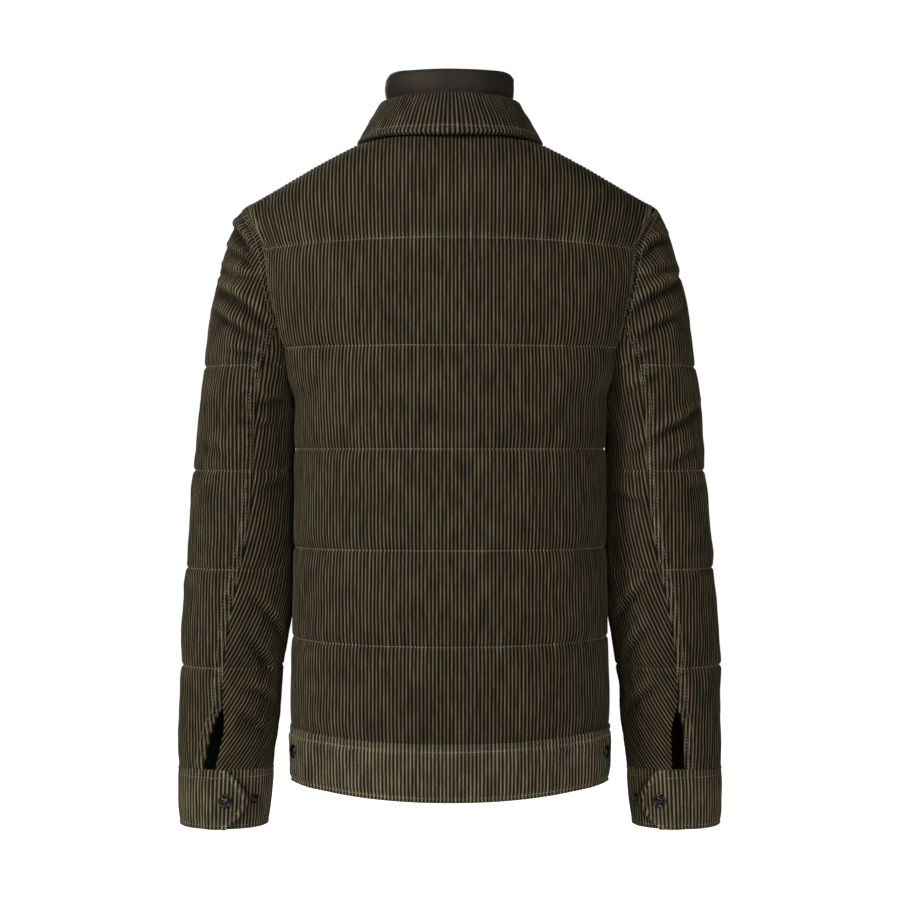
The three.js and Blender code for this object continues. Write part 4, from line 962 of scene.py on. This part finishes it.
def pile_group():
    """How far up the pile a place is, and how its nap lies, from the wales and the cloth's place."""
    group = bpy.data.node_groups.new("pile and nap", "ShaderNodeTree")
    for name in ("Wales", "Along"):
        socket(group, name, "NodeSocketFloat", "INPUT")
    for name in ("Ridge", "Nap", "Fibre"):
        socket(group, name, "NodeSocketFloat", "OUTPUT")
    nodes, links = group.nodes, group.links
    given = nodes.new("NodeGroupInput")
    out = nodes.new("NodeGroupOutput")

    def math_node(operation, a, b=None):
        node = nodes.new("ShaderNodeMath")
        node.operation = operation
        for place, value in enumerate((a, b)):
            if value is None:
                continue
            if isinstance(value, (int, float)):
                node.inputs[place].default_value = value
            else:
                links.new(value, node.inputs[place])
        return node.outputs[0]

    turned = math_node("MULTIPLY", given.outputs["Wales"], math.pi)
    ridge = math_node("POWER", math_node("ABSOLUTE", math_node("SINE", turned)), 1.0)
    links.new(ridge, out.inputs["Ridge"])

    place = nodes.new("ShaderNodeCombineXYZ")
    links.new(math_node("MULTIPLY", given.outputs["Wales"], 0.9), place.inputs[0])
    links.new(math_node("MULTIPLY", given.outputs["Along"], 0.035), place.inputs[1])
    streaks = nodes.new("ShaderNodeTexNoise")
    streaks.inputs["Scale"].default_value = 1.0
    streaks.inputs["Detail"].default_value = 3.0
    links.new(place.outputs[0], streaks.inputs["Vector"])
    cloth = nodes.new("ShaderNodeTexCoord")
    patches = nodes.new("ShaderNodeTexNoise")
    patches.inputs["Scale"].default_value = 26.0
    patches.inputs["Detail"].default_value = 4.0
    links.new(cloth.outputs["Object"], patches.inputs["Vector"])
    both = math_node("ADD", math_node("MULTIPLY", streaks.outputs["Fac"], 0.75),
                     math_node("MULTIPLY", patches.outputs["Fac"], 0.25))
    links.new(both, out.inputs["Nap"])
    fibre = nodes.new("ShaderNodeTexNoise")
    fibre.inputs["Scale"].default_value = 2600.0
    fibre.inputs["Detail"].default_value = 2.0
    links.new(cloth.outputs["Object"], fibre.inputs["Vector"])
    links.new(fibre.outputs["Fac"], out.inputs["Fibre"])
    return group


def ramp(nodes, low, high, first=0.0, last=1.0, between=None):
    node = nodes.new("ShaderNodeValToRGB")
    node.color_ramp.elements[0].position, node.color_ramp.elements[1].position = first, last
    node.color_ramp.elements[0].color = (*low, 1)
    node.color_ramp.elements[1].color = (*high, 1)
    if between:
        place, colour = between
        node.color_ramp.elements.new(place).color = (*colour, 1)
    return node


def blend_colours(nodes, links, kind, share, a, b):
    node = nodes.new("ShaderNodeMix")
    node.data_type, node.blend_type = "RGBA", kind
    if isinstance(share, float):
        node.inputs["Factor"].default_value = share
    else:
        links.new(share, node.inputs["Factor"])
    links.new(a, node.inputs["A"])
    links.new(b, node.inputs["B"])
    return node.outputs["Result"]


def new_material(name):
    material = bpy.data.materials.new(name)
    material.use_nodes = True
    nodes, links = material.node_tree.nodes, material.node_tree.links
    return material, nodes, links, nodes["Principled BSDF"]


def bumped(nodes, links, shader, height, strength, distance):
    bump = nodes.new("ShaderNodeBump")
    bump.inputs["Strength"].default_value = strength
    bump.inputs["Distance"].default_value = distance
    links.new(height, bump.inputs["Height"])
    links.new(bump.outputs["Normal"], shader.inputs["Normal"])


PILE = pile_group()


def corduroy(name, valley, slope, ridge, pale):
    material, nodes, links, shader = new_material(name)
    wales, along, tone = (nodes.new("ShaderNodeAttribute") for _ in range(3))
    wales.attribute_name, along.attribute_name, tone.attribute_name = "wale", "along", "tone"
    pile = nodes.new("ShaderNodeGroup")
    pile.node_tree = PILE
    links.new(wales.outputs["Fac"], pile.inputs["Wales"])
    links.new(along.outputs["Fac"], pile.inputs["Along"])
    # Near-black valleys and a narrow bright crest: partly the pile's own colour against its ground, partly
    # painted shade between the wales and a painted highlight on each crest
    depth = ramp(nodes, valley, ridge, 0.15, 0.99, between=(0.82, slope))
    links.new(pile.outputs["Ridge"], depth.inputs[0])
    brushed = ramp(nodes, (0.6, 0.6, 0.6), pale, 0.36, 0.66)
    links.new(pile.outputs["Nap"], brushed.inputs[0])
    colour = blend_colours(nodes, links, "MULTIPLY", 1.0, depth.outputs[0], brushed.outputs[0])
    # Multiplies the colour by one plus the tone attribute: painted shade in folds and beside the cuff tab,
    # painted highlights on fold ridges and raised rolls, and paler stitch lines
    wear_and_painted_light = nodes.new("ShaderNodeMath")
    wear_and_painted_light.operation = "ADD"
    wear_and_painted_light.inputs[1].default_value = 1.0
    links.new(tone.outputs["Fac"], wear_and_painted_light.inputs[0])
    colour = blend_colours(nodes, links, "MULTIPLY", 1.0, colour, wear_and_painted_light.outputs[0])
    grain = ramp(nodes, (0.8, 0.8, 0.8), (1.15, 1.15, 1.15), 0.3, 0.7)
    links.new(pile.outputs["Fibre"], grain.inputs[0])
    colour = blend_colours(nodes, links, "MULTIPLY", 1.0, colour, grain.outputs[0])
    links.new(colour, shader.inputs["Base Color"])
    shader.inputs["Roughness"].default_value = 0.92
    shader.inputs["Specular IOR Level"].default_value = 0.08
    shader.inputs["Sheen Weight"].default_value = 0.02
    shader.inputs["Sheen Roughness"].default_value = 0.4
    shader.inputs["Sheen Tint"].default_value = (0.75, 0.68, 0.5, 1)
    bumped(nodes, links, shader, pile.outputs["Fibre"], 0.5, 0.0004)
    return material


def woven(name, dark, light, roughness, scale, sheen, strength):
    """Smooth cloth: a fine weave that shows only close up, and a soft change of tone."""
    material, nodes, links, shader = new_material(name)
    cloth = nodes.new("ShaderNodeTexCoord")
    tone = nodes.new("ShaderNodeTexNoise")
    tone.inputs["Scale"].default_value = 22.0
    tone.inputs["Detail"].default_value = 3.0
    links.new(cloth.outputs["Object"], tone.inputs["Vector"])
    colour = ramp(nodes, dark, light, 0.3, 0.7)
    links.new(tone.outputs["Fac"], colour.inputs[0])
    links.new(colour.outputs[0], shader.inputs["Base Color"])
    weave = nodes.new("ShaderNodeTexWave")
    weave.inputs["Scale"].default_value = scale
    weave.inputs["Distortion"].default_value = 1.5
    links.new(cloth.outputs["Object"], weave.inputs["Vector"])
    rough = nodes.new("ShaderNodeMapRange")
    rough.inputs["To Min"].default_value = roughness - 0.06
    rough.inputs["To Max"].default_value = roughness + 0.06
    links.new(tone.outputs["Fac"], rough.inputs["Value"])
    links.new(rough.outputs[0], shader.inputs["Roughness"])
    shader.inputs["Sheen Weight"].default_value = sheen
    shader.inputs["Specular IOR Level"].default_value = 0.16
    bumped(nodes, links, shader, weave.outputs["Fac"], strength, 0.0002)
    return material


def dark_metal(name):
    material, nodes, links, shader = new_material(name)
    place = nodes.new("ShaderNodeTexCoord")
    wear_and_painted_light = nodes.new("ShaderNodeTexNoise")
    wear_and_painted_light.inputs["Scale"].default_value = 420.0
    wear_and_painted_light.inputs["Detail"].default_value = 5.0
    links.new(place.outputs["Object"], wear_and_painted_light.inputs["Vector"])
    colour = ramp(nodes, (0.012, 0.011, 0.009), (0.06, 0.055, 0.045), 0.35, 0.75)
    links.new(wear_and_painted_light.outputs["Fac"], colour.inputs[0])
    links.new(colour.outputs[0], shader.inputs["Base Color"])
    rough = nodes.new("ShaderNodeMapRange")
    rough.inputs["To Min"].default_value = 0.16
    rough.inputs["To Max"].default_value = 0.4
    links.new(wear_and_painted_light.outputs["Fac"], rough.inputs["Value"])
    links.new(rough.outputs[0], shader.inputs["Roughness"])
    shader.inputs["Metallic"].default_value = 1.0
    bumped(nodes, links, shader, wear_and_painted_light.outputs["Fac"], 0.15, 0.0002)
    return material


def pale_paper(name):
    material, nodes, links, shader = new_material(name)
    place = nodes.new("ShaderNodeTexCoord")
    tone = nodes.new("ShaderNodeTexNoise")
    tone.inputs["Scale"].default_value = 3.0
    links.new(place.outputs["Object"], tone.inputs["Vector"])
    colour = ramp(nodes, (0.62, 0.62, 0.62), (0.66, 0.66, 0.66))
    links.new(tone.outputs["Fac"], colour.inputs[0])
    links.new(colour.outputs[0], shader.inputs["Base Color"])
    shader.inputs["Roughness"].default_value = 0.9
    shader.inputs["Emission Color"].default_value = (1, 1, 1, 1)
    seen = nodes.new("ShaderNodeLightPath")
    glow = nodes.new("ShaderNodeMapRange")
    glow.inputs["To Min"].default_value = 0.06
    glow.inputs["To Max"].default_value = 0.9
    links.new(seen.outputs["Is Camera Ray"], glow.inputs["Value"])
    links.new(glow.outputs[0], shader.inputs["Emission Strength"])
    return material


CORDUROY = corduroy(
    "olive corduroy", (0.003, 0.0022, 0.0009), (0.0165, 0.0134, 0.0064), (0.088, 0.074, 0.0455),
    (1.5, 1.46, 1.38))
COLLAR_CORDUROY = corduroy(
    "olive collar corduroy", (0.003, 0.0023, 0.001), (0.015, 0.0125, 0.0065), (0.085, 0.073, 0.049),
    (1.5, 1.46, 1.38))
# A lighter copy of the corduroy for the cuffs and waistband: painted light, for the extra light that the lower
# parts catch
BAND_CORDUROY_PAINTED_LIGHTER = corduroy(
    "olive corduroy painted lighter", (0.0055, 0.0043, 0.002), (0.036, 0.03, 0.0165), (0.145, 0.123, 0.081),
    (1.5, 1.46, 1.38))
SATIN = woven("brown satin", (0.0115, 0.008, 0.0055), (0.022, 0.016, 0.011), 0.64, 900, 0.0, 0.25)
LINING = woven("black lining", (0.004, 0.0035, 0.003), (0.008, 0.007, 0.006), 0.85, 1100, 0.05, 0.4)
THREAD = woven("olive thread", (0.12, 0.102, 0.066), (0.19, 0.163, 0.108), 0.8, 1500, 0.1, 0.6)
GUNMETAL = dark_metal("gunmetal")


def dress(piece, face, behind=None):
    piece.data.materials.append(face)
    if behind:
        piece.data.materials.append(behind)
    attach(piece, "root")
    return piece


# Snaps and stitches

SNAP_SHAPE = Curves(
    "place out up", (0, 1.0, 0.0), (1, 1.0, 1.0), (2, 0.97, 1.55), (3, 0.88, 1.95), (4, 0.76, 1.9),
    (5, 0.66, 1.35), (6, 0.6, 1.3), (7, 0.56, 1.75), (8, 0.42, 2.3), (9, 0.2, 2.62), (10, 0.0, 2.7))


def snap_piece(name, point, normal, radius):
    """A domed cap inside a rolled ring, turned round its own axis."""
    bm = bmesh.new()
    places = np.linspace(0, 10, 31)
    outs, ups = SNAP_SHAPE.at("out", places) * radius, SNAP_SHAPE.at("up", places)
    verts = [bm.verts.new((max(0.0, out) * MM, 0, up * MM)) for out, up in zip(outs, ups)]
    verts.insert(0, bm.verts.new((0, 0, 0)))
    edges = [bm.edges.new(pair) for pair in zip(verts, verts[1:])]
    bmesh.ops.spin(bm, geom=verts + edges, cent=(0, 0, 0), axis=(0, 0, 1), dvec=(0, 0, 0),
                   angle=2 * math.pi, steps=40, use_merge=True, use_duplicate=False)
    bmesh.ops.remove_doubles(bm, verts=bm.verts[:], dist=1e-6)
    bmesh.ops.recalc_face_normals(bm, faces=bm.faces[:])
    for found in bm.faces:
        found.smooth = True
    turn = Vector(normal).to_track_quat("Z", "Y").to_matrix().to_4x4()
    bmesh.ops.transform(bm, verts=bm.verts[:], matrix=Matrix.Translation(Vector(point) * MM) @ turn)
    return finished(name, bm)


STITCH_LENGTH, STITCH_GAP, THREAD_RADIUS = 2.6, 1.0, 0.38


def stitch_run(points, normals):
    """One run of stitches as a mesh of its own."""
    bm = bmesh.new()
    around = arc_length(points)
    count = int(around[-1] // (STITCH_LENGTH + STITCH_GAP))
    for k in range(count):
        start = (k + 0.5) * around[-1] / count - STITCH_LENGTH / 2
        ends = [np.array([np.interp(at, around, points[:, i]) for i in range(3)])
                for at in (start, start + STITCH_LENGTH)]
        out = np.array([np.interp(start, around, normals[:, i]) for i in range(3)])
        along = Vector(ends[1] - ends[0])
        middle = (ends[0] + ends[1]) / 2 + out * THREAD_RADIUS * 0.6
        turn = along.to_track_quat("Z", "Y").to_matrix().to_4x4()
        size = Matrix.Diagonal((THREAD_RADIUS, THREAD_RADIUS, along.length / 2, 1 / MM))
        place = Matrix.Translation(Vector(middle) * MM) @ turn @ (size * MM)
        bmesh.ops.create_uvsphere(bm, u_segments=6, v_segments=4, radius=1, matrix=place)
    run = bpy.data.meshes.new("run")
    bm.to_mesh(run)
    bm.free()
    return run


def stitches(name, lines):
    """Runs of stitches: each line is points on the cloth and the way out of it at each."""
    bm = bmesh.new()
    for points, normals in lines:
        run = stitch_run(points, normals)
        bm.from_mesh(run)
        bpy.data.meshes.remove(run)
    for found in bm.faces:
        found.smooth = True
    return dress(finished(name, bm), THREAD)


def row_line(cloth, length, first=None, last=None, out=0.55):
    """A line over a piece's face at one height, across its wales."""
    row = int(np.argmin(np.abs(cloth.length[:, cloth.length.shape[1] // 2] - length)))
    low = cloth.wale[row, 0] + 1.5 if first is None else first
    high = cloth.wale[row, -1] - 1.5 if last is None else last
    places = np.arange(low, high, 1.2)
    points, normals, lift, _, _ = cloth.sample(row, places)
    return points + normals * (lift + out)[:, None], normals


def edge_line(cloth, inset, at_end, out=0.9, above=-math.inf, below=math.inf):
    """A line along one side edge of a piece, inset from it, between two heights."""
    points, normals = [], []
    for row in range(1, cloth.wale.shape[0] - 1):
        if not above <= cloth.length[row, 0] <= below:
            continue
        place = cloth.wale[row, -1] - inset if at_end else cloth.wale[row, 0] + inset
        point, normal, lift, _, _ = cloth.sample(row, np.array([place]))
        points.append(point[0] + normal[0] * (lift[0] + out))
        normals.append(normal[0])
    return np.array(points), np.array(normals)


# The jacket


PILES = {"collar": COLLAR_CORDUROY, "cuff": BAND_CORDUROY_PAINTED_LIGHTER, "waistband_back": BAND_CORDUROY_PAINTED_LIGHTER,
         "waistband_front": BAND_CORDUROY_PAINTED_LIGHTER}


def cloth_of_the_jacket(name, cut, cloth, hangs_from, **how):
    piece = cloth_piece(name, cloth, **how)
    ridged = how.get("ridged", True)
    face = PILES.get(cut, CORDUROY) if ridged else SATIN
    dress(piece, face, LINING if ridged else SATIN)
    print(f"{name}: {len(piece.data.polygons)} faces, base area {cloth.area():.4f}")
    return piece


back = body_cloth(True, -1, 1, 561)
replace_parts(cloth_of_the_jacket("back_cloth", "back", back, ["collar"]), "back")
PLACKET_EDGE, PLACKET_STITCHED = -0.037, 0.045
left_front = body_cloth(False, PLACKET_EDGE, 1, 301)
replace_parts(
    cloth_of_the_jacket("front_left_cloth", "front_left", left_front, ["collar"]), "front_left")
right_front = body_cloth(False, -1, PLACKET_EDGE - 0.002, 301)
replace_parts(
    cloth_of_the_jacket("front_right_cloth", "front_right", right_front, ["collar"]), "front_right")

seams = []
sleeves = {}
for side in ("left", "right"):
    upper, under = upper_sleeve_cloth(side), under_sleeve_cloth(side)
    cuff = cuff_cloth(side)
    if side == "right":
        upper.mirrored(), under.mirrored(), cuff.mirrored()
    sleeves[side] = (upper, under, cuff)
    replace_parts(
        cloth_of_the_jacket(f"sleeve_upper_{side}_cloth", "sleeve_upper", upper, ["back_cloth"]),
        f"sleeve_upper_{side}")
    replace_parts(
        cloth_of_the_jacket(f"sleeve_under_{side}_cloth", "sleeve_under", under, ["back_cloth"]),
        f"sleeve_under_{side}")
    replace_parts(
        cloth_of_the_jacket(f"cuff_{side}_cloth", "cuff", cuff, [f"sleeve_upper_{side}_cloth"]),
        f"cuff_{side}")

band_back = band_cloth(180 - BAND_END_TURN, BAND_END_TURN, band_back_lift, 501, True)
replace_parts(cloth_of_the_jacket(
    "waistband_back_cloth", "waistband_back", band_back, ["back_cloth"]), "waistband_back")
plain_lift = lambda turn: BAND_PROUD + 0 * turn
band_left = band_cloth(BAND_UNDER_TURN, -90 - FRONT_OVERLAP, plain_lift, 361, False)
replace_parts(cloth_of_the_jacket(
    "waistband_front_left_cloth", "waistband_front", band_left, ["front_left_cloth"]),
    "waistband_front_left")
band_right = band_cloth(-90 - FRONT_OVERLAP, -180 - BAND_UNDER_TURN, plain_lift, 361, False)
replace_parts(cloth_of_the_jacket(
    "waistband_front_right_cloth", "waistband_front", band_right, ["front_right_cloth"]),
    "waistband_front_right")

collar = collar_cloth()
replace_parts(cloth_of_the_jacket(
    "collar_cloth", "collar", collar, ["stand_collar_cloth"],
    step=WALE / STEPS_TO_A_WALE, wall=2.6), "collar")
stand = stand_cloth()
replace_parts(cloth_of_the_jacket(
    "stand_collar_cloth", "stand_collar", stand, ["back_cloth"],
    step=2.2, wall=STAND_WALL, ridged=False), "stand_collar")


def placket_cloth():
    """The strip down the left front, lying on it."""
    share = np.linspace(PLACKET_EDGE, PLACKET_STITCHED, 41)
    rises = [rise for rise in body_rises() if rise < 0.95]
    points = np.array([body_row(share, rise, False) for rise in rises])
    wale = np.broadcast_to(arc_length(points[20]), points.shape[:2])
    from_end = np.minimum(wale, wale[:, -1:] - wale)
    length = np.array([BODY_LINES[0] + (rise if rise < 0 else rise * YOKE_HEIGHT) for rise in rises])
    seam = 0.8 * np.exp(-(((from_end - 5) / 1.3) ** 2))
    lift = 3.2 + 0.4 * ripple(wale / 30, length[:, None] / 50, 101) - seam - rounded_edge(from_end)
    cloth = Cloth(points, wale, lift, length[:, None], 1 - 0.5 * seam)
    return cloth.face_out(outward_from(0, 0))


placket = placket_cloth()
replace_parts(cloth_of_the_jacket(
    "placket_cloth", "placket", placket, ["front_left_cloth"], wall=2.4), "placket")


def snap(name, node, point, normal, radius):
    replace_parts(dress(snap_piece(name, point, normal, radius), GUNMETAL), node)


for side in ("left", "right"):
    twist, flip = CUFF_TWIST[side], np.array([1.0 if side == "left" else -1.0, 1, 1])
    for node, turn, radius, over in (
            (f"snap_cuff_{side}", CUFF_SNAP_TURN, SNAP_RADIUS, CUFF_LAP),
            (f"snap_cuff_spare_{side}", CUFF_SPARE_TURN, SPARE_SNAP_RADIUS, 0.0)):
        normal = ring_normal(np.array(turn + twist), np.array(CUFF_SNAP_Z))
        point = ring(turn + twist, CUFF_SNAP_Z) + normal * (CUFF_PROUD + over + 0.9)
        snap(node + "_cap", node, point * flip, normal * flip, radius)
    turn = BAND_SNAP_TURN if side == "left" else 180 - BAND_SNAP_TURN
    lift = BAND_PROUD + BAND_LAP + 1.6
    point = band_surface(turn, BAND_SNAP_DOWN, lift)
    normal = np.cross(
        band_surface(turn + 1, BAND_SNAP_DOWN, lift) - point,
        band_surface(turn, BAND_SNAP_DOWN + 0.02, lift) - point)
    normal *= np.sign(normal[1]) / np.linalg.norm(normal)
    snap(f"snap_waist_{side}_cap", f"snap_waist_{side}", point, normal, SNAP_RADIUS)

for number, height in enumerate((0.42, -50, -135, -220, -305, -390, -460), start=1):
    length = BODY_LINES[0] + (height * YOKE_HEIGHT if height > 0 else height)
    row = int(np.argmin(np.abs(placket.length[:, 0] - length)))
    middle = placket.wale[row, -1] / 2
    points, normals, lift, _, _ = placket.sample(row, np.array([middle]))
    snap(f"snap_front_{number}_cap", f"snap_front_{number}",
         points[0] + normals[0] * (lift[0] + 1.0), normals[0], SNAP_RADIUS)

# Topstitching
band_rows = [(WAIST_SEAM_Z - 7.5), (HEM_Z + 5.0)]
stitches("stitching_waistband", [row_line(cloth, mix(WAIST_SEAM_Z, HEM_Z, (WAIST_SEAM_Z - z) / 59.0))
                                 for cloth in (band_back, band_left, band_right) for z in band_rows])
stitches("stitching_quilting", [row_line(cloth, z, out=0.5) for cloth in (back, left_front, right_front)
                                for z in BODY_LINES])
for side in ("left", "right"):
    upper, under, cuff = sleeves[side]
    lines = [row_line(upper, z, out=0.5) for z in SLEEVE_LINES[1:]]
    stitches(f"stitching_sleeve_{side}", lines + [edge_line(upper, 2.4, True), edge_line(upper, 8.0, True)])
    stitches(f"stitching_cuff_{side}", [row_line(cuff, CUFF_SEAM_Z - 6.2, out=0.8),
                                        row_line(cuff, CUFF_BOTTOM_Z + 6.0, out=0.8),
                                        edge_line(cuff, 6.0, True)])
stitches("stitching_armholes", [
    edge_line(back, inset, at_end, above=BODY_LINES[1], below=BODY_LINES[0] + 0.8 * YOKE_HEIGHT)
    for inset in (1.6, 5.0) for at_end in (False, True)])
stitches("stitching_collar", [row_line(collar, -7.0, out=0.8)])
stitches("stitching_placket", [edge_line(placket, 5.0, False), edge_line(placket, 5.0, True)])


# Floor, light and camera

FLOOR_Z = -1.0
FLOOR_RADIUS = 9.0
bm = bmesh.new()
bmesh.ops.create_circle(bm, cap_ends=True, segments=96, radius=FLOOR_RADIUS)
bmesh.ops.translate(bm, verts=bm.verts[:], vec=(0, 0, FLOOR_Z))
floor = finished("floor", bm)
floor.data.materials.append(pale_paper("pale floor"))


def soft_light(name, place, aim, power, size, tint=(1, 1, 1)):
    data = bpy.data.lights.new(name, "AREA")
    data.energy, data.size, data.color = power, size, tint
    lamp = bpy.data.objects.new(name, data)
    bpy.context.scene.collection.objects.link(lamp)
    lamp.location = place
    lamp.rotation_euler = (Vector(aim) - Vector(place)).to_track_quat("-Z", "Y").to_euler()


soft_light("key light", (2.1, 2.1, 0.9), (0, 0, -0.4), 98, 0.8)
soft_light("fill light", (-0.75, 3.1, 0.1), (0, 0, -0.4), 48, 1.4)
soft_light("front light", (0.5, -2.6, 1.0), (0, 0, -0.35), 40, 1.6)

world = bpy.data.worlds.new("white studio")
bpy.context.scene.world = world
world.use_nodes = True
nodes, links = world.node_tree.nodes, world.node_tree.links
backdrop = nodes["Background"]
backdrop.inputs["Color"].default_value = (1, 1, 1, 1)
backdrop.inputs["Strength"].default_value = 1.0
dim = nodes.new("ShaderNodeBackground")
dim.inputs["Color"].default_value = (1, 1, 1, 1)
dim.inputs["Strength"].default_value = 0.16
seen = nodes.new("ShaderNodeLightPath")
either = nodes.new("ShaderNodeMixShader")
links.new(seen.outputs["Is Camera Ray"], either.inputs[0])
links.new(dim.outputs[0], either.inputs[1])
links.new(backdrop.outputs[0], either.inputs[2])
links.new(either.outputs[0], nodes["World Output"].inputs["Surface"])
bpy.context.scene.view_settings.view_transform = "Standard"

CAMERA_DISTANCE, CAMERA_Z = 2400.0, -309.0
camera = bpy.data.objects.new("camera", bpy.data.cameras.new("camera"))
bpy.context.scene.collection.objects.link(camera)
camera.location = (0, CAMERA_DISTANCE * MM, CAMERA_Z * MM)
camera.rotation_euler = (math.radians(90), 0, math.radians(180))
camera.data.sensor_width = 36
camera.data.lens = 93.2
bpy.context.scene.camera = camera
